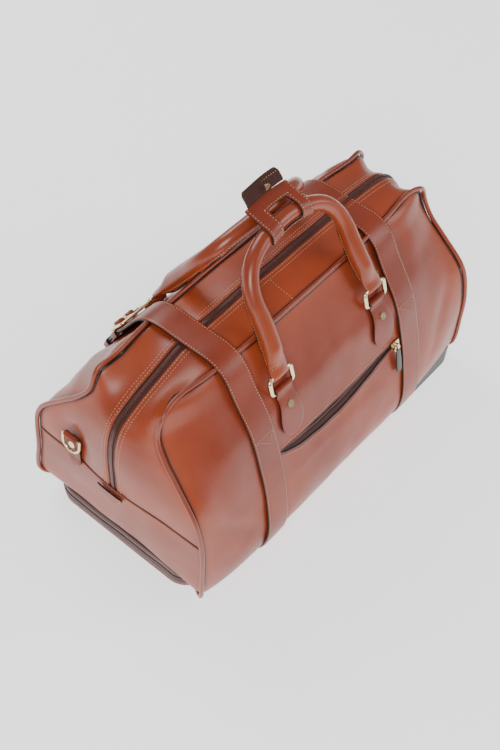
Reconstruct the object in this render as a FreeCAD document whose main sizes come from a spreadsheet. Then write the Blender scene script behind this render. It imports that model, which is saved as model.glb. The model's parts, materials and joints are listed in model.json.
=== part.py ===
"""A leather weekender bag: piped shell, zips, buckled straps, roll handles, D-rings, zipped base, end guard.

Millimetres, +Z up, +X towards the guarded end, -Y towards the pocket side; the origin is on the floor,
under the middle of the bag.
"""

import FreeCAD
import Part
import math
import os
import sys

import Sketcher

V = FreeCAD.Vector
ABOUT_X = V(1, 0, 0)
ABOUT_Y = V(0, 1, 0)
ABOUT_Z = V(0, 0, 1)

SIZES = {
    # leather shell: end view
    "bag_width": 282, "bag_height": 304, "apex_round": 40, "crown_y": 54, "crown_drop": 25, "crown_round": 12,
    "shoulder_in": 33, "shoulder_drop": 99, "shoulder_round": 70, "belly_z": 85, "belly_round": 90,
    "foot_round": 22,
    # leather shell: side view
    "bag_length": 528, "top_drop": 4, "top_slope": 114, "top_tuck": 18, "top_corner_drop": 32,
    "top_corner_round": 50, "slope_round": 40, "seam_height": 128, "base_tuck": 6, "seam_round": 12,
    "base_round": 5,
    "leather": 2.6, "gusset_half": 52, "piping": 5, "zip_gap": 13,
    # zips
    "tape": 1, "tape_width": 30, "teeth_width": 6, "teeth_height": 1.8, "zip_clear": 0.3,
    # lining, board, pocket
    "lining": 1, "lining_gap": 4.6, "pocket_depth": 13, "pocket_side": 5, "pocket_low": 50,
    "mouth_drop": 121, "mouth_open": 12, "mouth_clear": 3, "pouch_wall": 1.2, "pouch_over": 8,
    "mouth_tape": 7, "board": 3,
    # base compartment and end guard
    "base_height": 33, "tray_wall": 2.5, "tray_side_tuck": 29, "tray_tuck": 2,
    "tray_round": 30, "zip_low": 5, "zip_band": 1.4, "zip_reach": 70,
    "guard_long": 126, "guard_side_tuck": 4, "guard_beyond": 4, "guard_top": 100, "guard_wall": 3,
    "guard_gap": 0.4, "guard_round": 26, "guard_inner_round": 8, "skirt_tuck": 12,
    # straps, buckles and keepers
    "strap_x": 137, "strap_width": 36, "strap_thick": 3.2, "strap_gap": 3.4, "strap_end_drop": 103,
    "under_gap": 0.3, "under_thick": 2.6, "side_fit": 0.6, "buckle_bar": 4, "buckle_fit": 0.5,
    "buckle_wide": 50, "buckle_high": 36, "buckle_drop": 41, "keeper_drop": 89, "keeper_wide": 12,
    "keeper_leather": 2, "prong_eye": 1.5,
    # carry handles
    "handle_x": 89, "ring_bar": 4.6, "ring_wide": 42, "ring_high": 27, "ring_drop": 53, "ring_lean": 18,
    "handle_radius": 10.8, "handle_lean": 32.5, "handle_rise": 147, "handle_bow": 62, "loop_wide": 28,
    "loop_reach": 18, "roll_start": 14, "handle_turn": 65, "tab_wide": 34, "tab_thick": 4.4, "lie_gap": 0.4,
    "tab_low_drop": 112, "tab_neck": 16, "loop_leather": 2, "bar_fit": 0.6,
    "rivet_radius": 4.6, "rivet_high": 1.6, "shank_radius": 2, "tab_rivet_drop": 71,
    "wrap_half": 36, "wrap_leather": 2.6, "wrap_gap": 1, "wrap_arch": 144, "wrap_back": 17,
    "wrap_spread": 2.6, "wrap_low": 4, "flap_half": 30, "flap_high": 16, "slot_half": 17, "slot_high": 10,
    "snap_radius": 4, "snap_high": 1.4,
    # D-rings and their tabs
    "dee_y": 66, "dee_z": 163, "dee_bar": 3.6, "dee_half": 13.2, "dee_leg": 10, "dee_tab_wide": 20,
    "dee_tab_low": 124, "dee_tab_round": 6, "dee_fit": 0.4, "dee_rivet_z": 149,
    # sliders and pulls
    "slider_long": 15, "slider_wide": 10, "slider_high": 2.2, "bridge_long": 7, "bridge_wide": 3,
    "bridge_high": 5, "slider_fit": 0.4, "pull_hole": 1.5, "pull_wire": 0.9, "pull_ring": 4.5,
    "pull_long": 36, "pull_grip": 2.2, "pull_wide": 10, "pull_thick": 2.4,
    "patch_half": 19, "patch_z": 119, "patch_thick": 2,
}

doc = FreeCAD.newDocument("weekender")
sheet = doc.addObject("Spreadsheet::Sheet", "Sizes")
for row, (alias, value) in enumerate(SIZES.items(), start=1):
    sheet.set(f"A{row}", alias)
    sheet.set(f"B{row}", str(value))
    sheet.setAlias(f"B{row}", alias)
doc.recompute()


def size(alias):
    return float(sheet.get(alias))


NODES = []


def node(obj, label):
    """Names a finished sub-part."""
    obj.Label = label
    NODES.append(obj)
    return obj


def bind(obj, **cells):
    """Binds properties of an object to expressions on the sheet's cells."""
    for name, expression in cells.items():
        obj.setExpression(name.replace("__", "."), expression)
    return obj


# ---------------------------------------------------------------- outlines of the soft shell

def inset(points, distances):
    """A convex polygon, listed anticlockwise, with each edge moved inwards by its own distance."""
    lines = []
    count = len(points)
    for i, (ax, ay) in enumerate(points):
        bx, by = points[(i + 1) % count]
        run = math.hypot(bx - ax, by - ay)
        nx, ny = -(by - ay) / run, (bx - ax) / run
        lines.append((nx, ny, nx * ax + ny * ay + distances[i]))
    moved = []
    for i in range(count):
        a1, b1, c1 = lines[i - 1]
        a2, b2, c2 = lines[i]
        det = a1 * b2 - a2 * b1
        moved.append(((c1 * b2 - c2 * b1) / det, (a1 * c2 - a2 * c1) / det))
    return moved


def rounded_wire(points, radii, to_vector):
    """A closed wire through a convex polygon whose corners are tangent arcs."""
    corners = []
    count = len(points)
    for i, (px, py) in enumerate(points):
        ax, ay = points[i - 1]
        bx, by = points[(i + 1) % count]
        la, lb = math.hypot(ax - px, ay - py), math.hypot(bx - px, by - py)
        ua, ub = ((ax - px) / la, (ay - py) / la), ((bx - px) / lb, (by - py) / lb)
        half = math.acos(max(-1, min(1, ua[0] * ub[0] + ua[1] * ub[1]))) / 2
        reach = min(radii[i] / math.tan(half), 0.48 * min(la, lb))
        radius = reach * math.tan(half)
        mid = (ua[0] + ub[0], ua[1] + ub[1])
        norm = math.hypot(*mid)
        depth = radius / math.sin(half) - radius
        start = (px + ua[0] * reach, py + ua[1] * reach)
        middle = (px + mid[0] / norm * depth, py + mid[1] / norm * depth)
        finish = (px + ub[0] * reach, py + ub[1] * reach)
        corners.append((start, middle, finish))
    edges = []
    for i, (start, middle, finish) in enumerate(corners):
        edges.append(Part.Arc(to_vector(*start), to_vector(*middle), to_vector(*finish)).toShape())
        following = corners[(i + 1) % count][0]
        edges.append(Part.LineSegment(to_vector(*finish), to_vector(*following)).toShape())
    return Part.Wire(edges)


HALF = size("bag_width") / 2
END_X = size("bag_length") / 2
FLOOR_Z = size("base_height")
TOP_Z = size("bag_height")
CROWN_Z = TOP_Z - size("crown_drop")
SHOULDER_Y = HALF - size("shoulder_in")
CORNER_X = END_X - size("top_tuck")
CORNER_Z = TOP_Z - size("top_corner_drop")
MOUTH_Z = CROWN_Z - size("mouth_drop")
MOUTH_HALF = size("strap_x") - size("strap_width") / 2 - size("mouth_clear")
RING_Z = CROWN_Z - size("ring_drop")
TAB_RIVET_Z = CROWN_Z - size("tab_rivet_drop")
BUCKLE_Z = CROWN_Z - size("buckle_drop")
TRAY_HALF = HALF - size("tray_side_tuck")
GUARD_START = END_X + size("guard_beyond") - size("guard_long")
SLOPE = [
    (HALF, FLOOR_Z), (HALF, size("belly_z")), (SHOULDER_Y, TOP_Z - size("shoulder_drop")),
    (size("crown_y"), CROWN_Z),
]
END_VIEW = SLOPE + [(0, TOP_Z)] + [(-y, z) for y, z in reversed(SLOPE)]
END_ROUNDS = [
    size(n) for n in ("foot_round", "belly_round", "shoulder_round", "crown_round", "apex_round",
                      "crown_round", "shoulder_round", "belly_round", "foot_round")
]
SIDE_VIEW = [
    (END_X - size("base_tuck"), FLOOR_Z), (END_X, size("seam_height")),
    (CORNER_X, CORNER_Z), (END_X - size("top_slope"), TOP_Z - size("top_drop")),
]
SIDE_VIEW += [(-x, z) for x, z in reversed(SIDE_VIEW)]
SIDE_ROUNDS = [
    size(n) for n in ("base_round", "seam_round", "top_corner_round", "slope_round",
                      "slope_round", "top_corner_round", "seam_round", "base_round")
]
LONG = 700.0


def end_prism(depth, front_depth=None):
    """The end view, moved in by depth (its pocket side by front_depth), run along X."""
    front = depth if front_depth is None else front_depth
    points = inset(END_VIEW, [depth] * 5 + [front] * 3 + [depth])
    rounds = [max(r - depth, 1.0) for r in END_ROUNDS]
    wire = rounded_wire(points, rounds, lambda y, z: V(-LONG / 2, y, z))
    return Part.Face(wire).extrude(V(LONG, 0, 0))


def side_prism(depth):
    """The side view, moved in by depth, run along Y."""
    points = inset(SIDE_VIEW, [depth] * len(SIDE_VIEW))
    rounds = [max(r - depth, 1.0) for r in SIDE_ROUNDS]
    wire = rounded_wire(points, rounds, lambda x, z: V(x, LONG / 2, z))
    return Part.Face(wire).extrude(V(0, -LONG, 0))


def block(x0, x1, y0, y1, z0, z1):
    return Part.makeBox(x1 - x0, y1 - y0, z1 - z0, V(x0, y0, z0))


def soft(label, shape):
    """A sub-part of free form, from shapes made with the sheet's sizes."""
    feature = doc.addObject("Part::Feature", label)
    feature.Shape = shape.removeSplitter() if len(shape.Solids) == 1 else shape
    return node(feature, label)


# ---------------------------------------------------------------- leather shell

def make_shell():
    skin = size("leather")
    split = size("gusset_half")
    gap = size("zip_gap") / 2
    seam = size("seam_height")
    foot = HALF - size("foot_round")
    low = FLOOR_Z + 50
    sleeve = end_prism(0).cut(end_prism(skin)).common(side_prism(0))
    caps = side_prism(0).cut(side_prism(skin)).common(end_prism(skin))
    mouth_low = MOUTH_Z - size("mouth_open")
    mouth = block(-MOUTH_HALF, MOUTH_HALF, -LONG / 2, 0, mouth_low, MOUTH_Z)
    for name, side in (("front", -1), ("back", 1)):
        reach = sorted((side * foot, side * LONG / 2))
        upper = sorted((side * split, side * foot))
        lower_part = sleeve.common(block(-LONG, LONG, reach[0], reach[1], 0, LONG))
        upper_part = sleeve.common(block(-LONG, LONG, upper[0], upper[1], low, LONG))
        panel = lower_part.fuse(upper_part).removeSplitter()
        if side < 0:
            panel = panel.cut(mouth)
        soft(f"{name}_panel", panel)
        strip = sorted((side * gap, side * split))
        top = sleeve.common(block(-LONG, LONG, strip[0], strip[1], low, LONG))
        beyond = sorted((side * gap, side * LONG / 2))
        ends = caps.common(block(-LONG, LONG, beyond[0], beyond[1], seam, LONG))
        soft(f"{name}_gusset", top.fuse(ends).removeSplitter())
    soft("left_end_panel", caps.common(block(-LONG, 0, -LONG, LONG, 0, seam)))
    soft("right_end_panel", caps.common(block(0, LONG, -LONG, LONG, 0, seam)))
    soft("bottom_panel", sleeve.common(block(-LONG, LONG, -foot, foot, 0, low)))


def make_piping():
    """A corded edge along both ends and the top edge of each large panel, just outside the leather."""
    thick = size("piping")
    band = end_prism(-thick).cut(end_prism(0)).common(side_prism(-thick).cut(side_prism(0)))
    split = size("gusset_half")
    top_z = CROWN_Z + thick * 0.2
    for name, side in (("front", -1), ("back", 1)):
        reach = sorted((side * split, side * LONG / 2))
        ends = band.common(block(-LONG, LONG, reach[0], reach[1], FLOOR_Z + 2, LONG))
        half = max(v.X for v in ends.Vertexes if v.Z > top_z - 2 * thick and abs(v.Y) < split + thick)
        centre = V(-half + thick / 2, side * (split + thick * 0.2), top_z)
        cord = Part.makeCylinder(thick / 2, 2 * half - thick, centre, ABOUT_X)
        soft(f"{name}_piping", ends.fuse(cord.cut(end_prism(0))).removeSplitter())


def make_zip():
    skin = size("leather")
    tape = size("tape")
    seam = size("seam_height")
    wide = size("tape_width") / 2
    tooth = size("teeth_width") / 2
    outer = end_prism(skin).common(side_prism(skin))
    inner = end_prism(skin + tape).common(side_prism(skin + tape))
    band = outer.cut(inner)
    soft("main_zip_tape", band.common(block(-LONG, LONG, -wide, wide, seam, LONG)))
    raised = skin - size("teeth_height")
    chain = end_prism(raised).common(side_prism(raised)).cut(outer)
    soft("main_zip_teeth", chain.common(block(-LONG, LONG, -tooth, tooth, seam, LONG)))


def make_lining_and_pocket():
    gap = size("lining_gap")
    wall = size("lining")
    deep = size("leather") + size("pocket_depth") + 1
    outer = end_prism(gap, deep).common(side_prism(gap))
    inner = end_prism(gap + wall, deep + wall).common(side_prism(gap + wall))
    slit = block(-END_X, END_X, -size("zip_gap") / 2, size("zip_gap") / 2,
                 size("seam_height"), LONG)
    soft("lining", outer.cut(inner).cut(slit))
    skin = size("leather") + size("zip_clear")
    back = size("leather") + size("pocket_depth")
    pouch_wall = size("pouch_wall")
    half = MOUTH_HALF + size("pocket_side")
    top = MOUTH_Z + size("pouch_over")
    low = size("pocket_low")
    pouch = end_prism(skin).cut(end_prism(0, back)).common(block(-half, half, -LONG / 2, -60, low, top))
    hollow = end_prism(skin + pouch_wall).cut(end_prism(0, back - pouch_wall)).common(
        block(-half + pouch_wall, half - pouch_wall, -LONG / 2, -60, low + pouch_wall, top - pouch_wall))
    reach = MOUTH_HALF
    front = end_prism(0).cut(end_prism(skin + pouch_wall + 1)).common(
        block(-reach, reach, -LONG / 2, 0, MOUTH_Z - size("mouth_open"), MOUTH_Z))
    soft("pocket_pouch", pouch.cut(hollow).cut(front))
    tape = size("tape")
    outside = end_prism(-tape - size("zip_clear")).cut(end_prism(-size("zip_clear")))
    width = size("mouth_tape")
    upper = outside.common(block(-reach, reach, -LONG / 2, 0, MOUTH_Z, MOUTH_Z + width))
    lower_z = MOUTH_Z - size("mouth_open")
    lower = outside.common(block(-reach, reach, -LONG / 2, 0, lower_z - width, lower_z))
    soft("pocket_zip_tapes", Part.makeCompound([upper, lower]))
    board = size("board")
    inset_all = gap + wall + 1
    floor = end_prism(inset_all, deep + wall + 1).common(side_prism(inset_all))
    soft("base_board", floor.common(block(-LONG, LONG, -LONG, LONG, 0, FLOOR_Z + inset_all + board)))


# ---------------------------------------------------------------- building blocks for hardware

def cylinder(name, radius, height, place=None):
    part = doc.addObject("Part::Cylinder", name)
    bind(part, Radius=radius, Height=height)
    if place:
        part.Placement = place
    return part


def box(name, length, width, height, place=None):
    """A box centred on its own X and Y, standing on its own Z."""
    part = doc.addObject("Part::Box", name)
    bind(part, Length=length, Width=width, Height=height)
    doc.recompute()
    centre = FreeCAD.Placement(V(-part.Length.Value / 2, -part.Width.Value / 2, 0), FreeCAD.Rotation())
    part.Placement = (place or FreeCAD.Placement()).multiply(centre)
    return part


def fused(name, parts):
    whole = doc.addObject("Part::MultiFuse", name)
    whole.Shapes = parts
    return whole


def cut(name, base, tool):
    part = doc.addObject("Part::Cut", name)
    part.Base = base
    part.Tool = tool
    return part


def group(name, parts):
    whole = doc.addObject("Part::Compound", name)
    whole.Links = parts
    return whole


def at(x, y, z, axis=ABOUT_Z, angle=0.0):
    return FreeCAD.Placement(V(x, y, z), FreeCAD.Rotation(axis, angle))


def body_sketch(body, plane, name):
    sketch = body.newObject("Sketcher::SketchObject", name)
    origin = next(f for f in body.Origin.OriginFeatures if f.Role == plane)
    sketch.AttachmentSupport = [(origin, "")]
    sketch.MapMode = "FlatFace"
    return sketch


def add_rectangle(sketch, width, height, left=None, low=None):
    """A rectangle bound to the sheet; centred, or with its left and low sides at bound distances."""
    first = sketch.GeometryCount
    corners = [V(-5, -5, 0), V(5, -5, 0), V(5, 5, 0), V(-5, 5, 0)]
    if left is not None:
        corners = [c + V(40, 40, 0) for c in corners]
    for i in range(4):
        sketch.addGeometry(Part.LineSegment(corners[i], corners[(i + 1) % 4]), False)
    for i in range(4):
        sketch.addConstraint(Sketcher.Constraint("Coincident", first + i, 2, first + (i + 1) % 4, 1))
    for i, kind in enumerate(("Horizontal", "Vertical", "Horizontal", "Vertical")):
        sketch.addConstraint(Sketcher.Constraint(kind, first + i))
    bound = [("DistanceX", (first, 1, first, 2), width), ("DistanceY", (first + 1, 1, first + 1, 2), height)]
    if left is None:
        sketch.addConstraint(Sketcher.Constraint("Symmetric", first, 1, first + 1, 2, -1, 1))
    else:
        bound += [("DistanceX", (-1, 1, first, 1), left), ("DistanceY", (-1, 1, first, 1), low)]
    for kind, where, expression in bound:
        index = sketch.addConstraint(Sketcher.Constraint(kind, *where, 10.0))
        sketch.setExpression(f"Constraints[{index}]", expression)


def frame_body(name, width, height, bar):
    """A rectangular ring of round-edged bar, lying in its own XY plane about its centre."""
    body = doc.addObject("PartDesign::Body", name)
    sketch = body_sketch(body, "XY_Plane", f"{name}_outline")
    add_rectangle(sketch, width, height)
    add_rectangle(sketch, f"{width} - 2 * {bar}", f"{height} - 2 * {bar}")
    pad = body.newObject("PartDesign::Pad", f"{name}_pad")
    pad.Profile = sketch
    bind(pad, Length=bar)
    pad.SideType = "Symmetric"
    doc.recompute()
    edges = [f"Edge{i + 1}" for i, e in enumerate(pad.Shape.Edges)
             if abs(e.Vertexes[0].Z - e.Vertexes[-1].Z) < 1e-6]
    soften = body.newObject("PartDesign::Fillet", f"{name}_rounds")
    soften.Base = (pad, edges)
    bind(soften, Radius=f"{bar} * 0.38")
    doc.recompute()
    return body


def turned_body(name, radius_in, radius_out, width, soften=None):
    """A ring turned about its own Z axis, centred on its middle plane."""
    body = doc.addObject("PartDesign::Body", name)
    sketch = body_sketch(body, "XZ_Plane", f"{name}_section")
    add_rectangle(sketch, f"({radius_out}) - ({radius_in})", width, radius_in, f"-({width}) / 2")
    turn = body.newObject("PartDesign::Revolution", f"{name}_turn")
    turn.Profile = sketch
    turn.ReferenceAxis = (sketch, ["V_Axis"])
    turn.Angle = 360
    doc.recompute()
    if soften:
        outer = max(max(abs(v.X) for v in e.Vertexes) for e in turn.Shape.Edges)
        edges = [f"Edge{i + 1}" for i, e in enumerate(turn.Shape.Edges)
                 if len(e.Vertexes) == 1 and abs(abs(e.Vertexes[0].X) - outer) < 1e-6]
        rounds = body.newObject("PartDesign::Fillet", f"{name}_rounds")
        rounds.Base = (turn, edges)
        bind(rounds, Radius=soften)
        doc.recompute()
    return body


# ---------------------------------------------------------------- base compartment and end guard

def make_base():
    """A flat tray under the bag; its wall opens along a zip that runs round the left end."""
    wall = size("tray_wall")
    half = TRAY_HALF
    end = END_X - size("tray_tuck")
    start = GUARD_START - size("guard_gap")
    corner = size("tray_round")
    band_low, band = size("zip_low"), size("zip_band")
    clear = size("zip_clear")
    outline = [(-end, -half), (start, -half), (start, half), (-end, half)]

    def slab(depth, z0, z1):
        rounds = [corner - depth, 1, 1, corner - depth]
        wire = rounded_wire(inset(outline, [depth] * 4), rounds, lambda x, y: V(x, y, z0))
        return Part.Face(wire).extrude(V(0, 0, z1 - z0))

    zone = block(-LONG, -end + size("zip_reach"), -LONG, LONG, 0, LONG)
    inner_zone = block(-LONG, -end + size("zip_reach") - clear, -LONG, LONG, 0, LONG)
    top = FLOOR_Z - clear
    shell = slab(0, 0, top).cut(slab(wall, wall, top + 1))
    recess = slab(-1, band_low, LONG).cut(slab(band, band_low - 1, LONG + 1))
    soft("base_tray", shell.cut(recess.common(zone)))
    ribbon = slab(0, band_low + clear, top).cut(slab(band - clear, 0, LONG)).common(inner_zone)
    soft("base_zip_tape", ribbon)
    middle = (band_low + top) / 2
    tooth = size("teeth_width") / 2
    chain = slab(-size("teeth_height"), middle - tooth, middle + tooth).cut(slab(0, 0, LONG))
    soft("base_zip_teeth", chain.common(inner_zone))


def make_guard():
    """A moulded corner guard: a hollow foot under the right end and a skirt that rises up it."""
    start = GUARD_START
    half, wall, tuck = HALF - size("guard_side_tuck"), size("guard_wall"), size("skirt_tuck")
    gap, corner, inner_corner = size("guard_gap"), size("guard_round"), size("guard_inner_round")
    reach = END_X + size("guard_beyond")
    outline = [(start, -half), (reach, -half), (reach, half), (start, half)]

    def slab(depth, z0, z1):
        rounds = [inner_corner - depth, corner - depth, corner - depth, inner_corner - depth]
        wire = rounded_wire(inset(outline, [depth] * 4), rounds, lambda x, y: V(x, y, z0))
        return Part.Face(wire).extrude(V(0, 0, z1 - z0))

    foot = slab(0, 0, FLOOR_Z - gap).cut(slab(wall, wall, FLOOR_Z - gap - wall))
    outer, inner = side_prism(-gap - wall), side_prism(-gap)
    skirt = outer.cut(inner).common(
        block(start, LONG, -half + tuck, half - tuck, FLOOR_Z - wall, size("guard_top")))
    soft("end_guard", foot.cut(inner).fuse(skirt))


# ---------------------------------------------------------------- straps

def face_at(z):
    """How far out the large panels are at height z, and how many degrees they lean in there."""
    for (y0, z0), (y1, z1) in zip(SLOPE[1:], SLOPE[2:]):
        if z <= z1 or z1 == CROWN_Z:
            share = (z - z0) / (z1 - z0)
            return y0 + (y1 - y0) * share, math.degrees(math.atan2(y0 - y1, z1 - z0))
    return HALF, 0.0


def end_at(z):
    """The same for the two ends, above the seam."""
    x0, z0 = END_X, size("seam_height")
    x1, z1 = CORNER_X, CORNER_Z
    return x0 + (x1 - x0) * (z - z0) / (z1 - z0), math.degrees(math.atan2(x0 - x1, z1 - z0))


def facing(turn, across, out, z, lean):
    """A place on a leaning face: local X runs across it, local Y up it and local Z out of it."""
    upright = FreeCAD.Placement(V(across, -out, z), FreeCAD.Rotation(ABOUT_X, 90 - lean))
    return FreeCAD.Placement(V(0, 0, 0), FreeCAD.Rotation(ABOUT_Z, turn)).multiply(upright)


def on_face(turn, across, z, lift=0.0):
    """A place lifted off the front (turn 0) or back (turn 180) panel."""
    out, lean = face_at(z)
    place = facing(turn, across, out, z, lean)
    return place.multiply(at(0, 0, lift))


def on_end(turn, across, z, lift=0.0):
    """A place lifted off the left (turn -90) or right (turn 90) end."""
    out, lean = end_at(z)
    return facing(turn, across, out, z, lean).multiply(at(0, 0, lift))


def placed(shape, place):
    copy = shape.copy()
    copy.Placement = place.multiply(copy.Placement)
    return copy


def bar_hole():
    return size("ring_bar") / 2 + size("bar_fit")


OVER_STRAP = size("strap_gap") + size("strap_thick") + size("lie_gap")
BUCKLE_HOLE = size("buckle_bar") / 2 + size("buckle_fit")
BUCKLE_LIFT = OVER_STRAP + BUCKLE_HOLE + size("keeper_leather")


def make_straps():
    """Two straps over the bag. Each ends in a tongue on the back, over a shorter strap with the buckle."""
    half = size("strap_width") / 2
    gap, thick = size("strap_gap"), size("strap_thick")
    under, under_thick = size("under_gap"), size("under_thick")
    band = end_prism(-gap - thick).cut(end_prism(-gap))
    under_band = end_prism(-under - under_thick).cut(end_prism(-under))
    low = FLOOR_Z + 2
    unders, keepers, loops = [], [], []
    leather = size("keeper_leather")
    over = OVER_STRAP
    for name, x in (("left", -size("strap_x")), ("right", size("strap_x"))):
        front = block(x - half, x + half, -LONG / 2, 1, low, LONG)
        back = block(x - half, x + half, 0, LONG / 2, CROWN_Z - size("strap_end_drop"), LONG)
        soft(f"{name}_strap", band.common(front.fuse(back)))
        heel = on_face(180, -x, BUCKLE_Z).multiply(at(0, -size("buckle_high") / 2, 0)).Base.z
        unders.append(under_band.common(block(x - half, x + half, 0, LONG / 2, low, heel)))
        clear = half + size("side_fit")
        wide = size("keeper_wide")
        hoop = block(-clear - leather, clear + leather, -wide / 2, wide / 2, under, over + leather).cut(
            block(-clear, clear, -wide, wide, 0, over))
        keepers.append(placed(hoop, on_face(180, -x, CROWN_Z - size("keeper_drop"), size("lie_gap"))))
        bar = size("buckle_bar")
        pivot = -(size("buckle_high") - bar) / 2
        roll = Part.makeCylinder(
            BUCKLE_HOLE + leather, 2 * half - 8, V(-half + 4, pivot, BUCKLE_LIFT), ABOUT_X)
        bridge = block(-clear - leather, clear + leather, pivot - wide, pivot - 1, under, over + leather).cut(
            block(-clear, clear, pivot - 2 * wide, pivot, 0, over))
        neck = block(-half + 4, half - 4, pivot - wide, pivot, over, BUCKLE_LIFT)
        hole = Part.makeCylinder(BUCKLE_HOLE, 4 * half, V(-2 * half, pivot, BUCKLE_LIFT), ABOUT_X)
        prong_room = block(-3.2, 3.2, pivot - 7, pivot + 12, over, LONG)
        loop = bridge.fuse(neck).fuse(roll).cut(hole).cut(prong_room)
        loops.append(placed(loop, on_face(180, -x, BUCKLE_Z)))
    soft("strap_bases", Part.makeCompound(unders))
    soft("strap_keepers", Part.makeCompound(keepers))
    soft("buckle_loops", Part.makeCompound(loops))


def make_buckles():
    for name, x in (("left", -size("strap_x")), ("right", size("strap_x"))):
        place = on_face(180, -x, BUCKLE_Z, BUCKLE_LIFT)
        frame = frame_body(
            f"{name}_buckle_frame", "Sizes.buckle_wide", "Sizes.buckle_high", "Sizes.buckle_bar")
        frame.Placement = place
        node(frame, f"{name}_buckle_frame")
        pivot = -(size("buckle_high") - size("buckle_bar")) / 2
        hole = "Sizes.buckle_bar / 2 + Sizes.buckle_fit"
        eye = turned_body(f"{name}_prong_eye", hole, f"{hole} + Sizes.prong_eye", "Sizes.buckle_bar * 1.1")
        eye.Placement = place.multiply(at(0, pivot, 0, ABOUT_Y, 90))
        pin = cylinder(f"{name}_prong_pin", "Sizes.buckle_bar * 0.35",
                       "Sizes.buckle_high - 2 * Sizes.buckle_bar - 1.6",
                       place.multiply(at(0, pivot + size("buckle_bar") / 2 + 1.2, 0, ABOUT_X, -90)))
        node(fused(f"{name}_buckle_prong", [eye, pin]), f"{name}_buckle_prong")


# ---------------------------------------------------------------- carry handles

def ring_place(turn, across=0.0):
    """The lower bar of the handle rings: the tab's loop holds it just off the panel."""
    lift = size("lie_gap") + size("loop_leather") + bar_hole()
    low = on_face(turn, across, RING_Z, lift)
    out = abs(low.Base.y)
    return facing(turn, across, out, low.Base.z, size("ring_lean"))


def handle_place(turn, across=0.0):
    """The upper bar of the handle rings, where the handle's plane starts."""
    low = ring_place(turn, across)
    high = low.multiply(at(0, size("ring_high") - size("ring_bar"), 0))
    return facing(turn, across, abs(high.Base.y), high.Base.z, size("handle_lean"))


def make_tabs():
    """Riveted tabs on both panels; the top of each is a loop that holds a ring's lower bar."""
    gap, thick = size("lie_gap"), size("tab_thick")
    half = size("tab_wide") / 2
    low_z = CROWN_Z - size("tab_low_drop")
    band = end_prism(-gap - thick).cut(end_prism(-gap))
    rivets = []
    for side, turn in (("front", 0), ("back", 180)):
        tabs = []
        for x in (-size("handle_x"), size("handle_x")):
            low = low_z + half
            arc = Part.Arc(V(x - half, 0, low), V(x, 0, low_z), V(x + half, 0, low)).toShape()
            top = RING_Z
            neck = size("loop_wide") / 2
            narrows = top - size("tab_neck")
            path = [V(x + half, 0, low), V(x + half, 0, narrows), V(x + neck, 0, top), V(x - neck, 0, top),
                    V(x - half, 0, narrows), V(x - half, 0, low)]
            lines = [Part.LineSegment(a, b).toShape() for a, b in zip(path, path[1:])]
            outline = Part.Face(Part.Wire([arc] + lines))
            reach = outline.extrude(V(0, -LONG / 2 if turn == 0 else LONG / 2, 0))
            across = x if turn == 0 else -x
            pivot = ring_place(turn, across)
            wide = size("loop_wide")
            loop = Part.makeCylinder(bar_hole() + size("loop_leather"), wide, V(-wide / 2, 0, 0), ABOUT_X)
            hole = Part.makeCylinder(bar_hole(), 2 * wide, V(-wide, 0, 0), ABOUT_X)
            sunk = on_face(turn, across, TAB_RIVET_Z, gap)
            shank = placed(Part.makeCylinder(size("shank_radius"), 20, V(0, 0, -8)), sunk)
            tab = band.common(reach).fuse(placed(loop, pivot)).cut(placed(hole, pivot)).cut(shank)
            tabs.append(tab)
            rivets += rivet(f"{side}_tab_rivet_{'left' if x < 0 else 'right'}", sunk, thick)
        soft(f"{side}_handle_tabs", Part.makeCompound(tabs))
    node(group("tab_rivets", rivets), "tab_rivets")


def rivet(name, place, grip):
    """A domed rivet: its shank fills the hole through a grip of leather, its head stands on top."""
    shank = cylinder(f"{name}_shank", "Sizes.shank_radius", f"{grip}", place)
    head = cylinder(f"{name}_head", "Sizes.rivet_radius", "Sizes.rivet_high", place.multiply(at(0, 0, grip)))
    return [fused(name, [shank, head])]


def make_rings():
    for side, turn in (("front", 0), ("back", 180)):
        rings = []
        for label, x in (("a", -size("handle_x")), ("b", size("handle_x"))):
            ring = frame_body(f"{side}_ring_{label}", "Sizes.ring_wide", "Sizes.ring_high", "Sizes.ring_bar")
            middle = (size("ring_high") - size("ring_bar")) / 2
            ring.Placement = ring_place(turn, x).multiply(at(0, middle, 0))
            rings.append(ring)
        node(group(f"{side}_rings", rings), f"{side}_rings")


def handle_path():
    """Half width, straight leg, tight shoulder arc, then a wide arc over the crown."""
    half, bow = size("handle_x"), size("handle_bow")
    flat = size("handle_turn")
    steep = 180 - flat
    centre_x = -half + bow
    reach = abs(centre_x) / math.cos(math.radians(flat))
    crown = bow + reach
    leg = size("handle_rise") - crown + reach * math.sin(math.radians(flat))
    start = size("roll_start")

    def spot(cx, cy, radius, degrees):
        angle = math.radians(degrees)
        return V(cx + radius * math.cos(angle), cy + radius * math.sin(angle), 0)

    middle = size("handle_rise") - crown
    first = [spot(centre_x, leg, bow, a) for a in (180, (180 + steep) / 2, steep)]
    over = [spot(0, middle, crown, a) for a in (steep, 90, flat)]
    last = [spot(-centre_x, leg, bow, a) for a in (flat, flat / 2, 0)]
    over[0], over[2] = first[2], last[0]
    edges = [Part.LineSegment(V(-half, start, 0), first[0]).toShape()]
    edges += [Part.Arc(*arc).toShape() for arc in (first, over, last)]
    edges.append(Part.LineSegment(last[2], V(half, start, 0)).toShape())
    return Part.Wire(edges)


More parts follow.
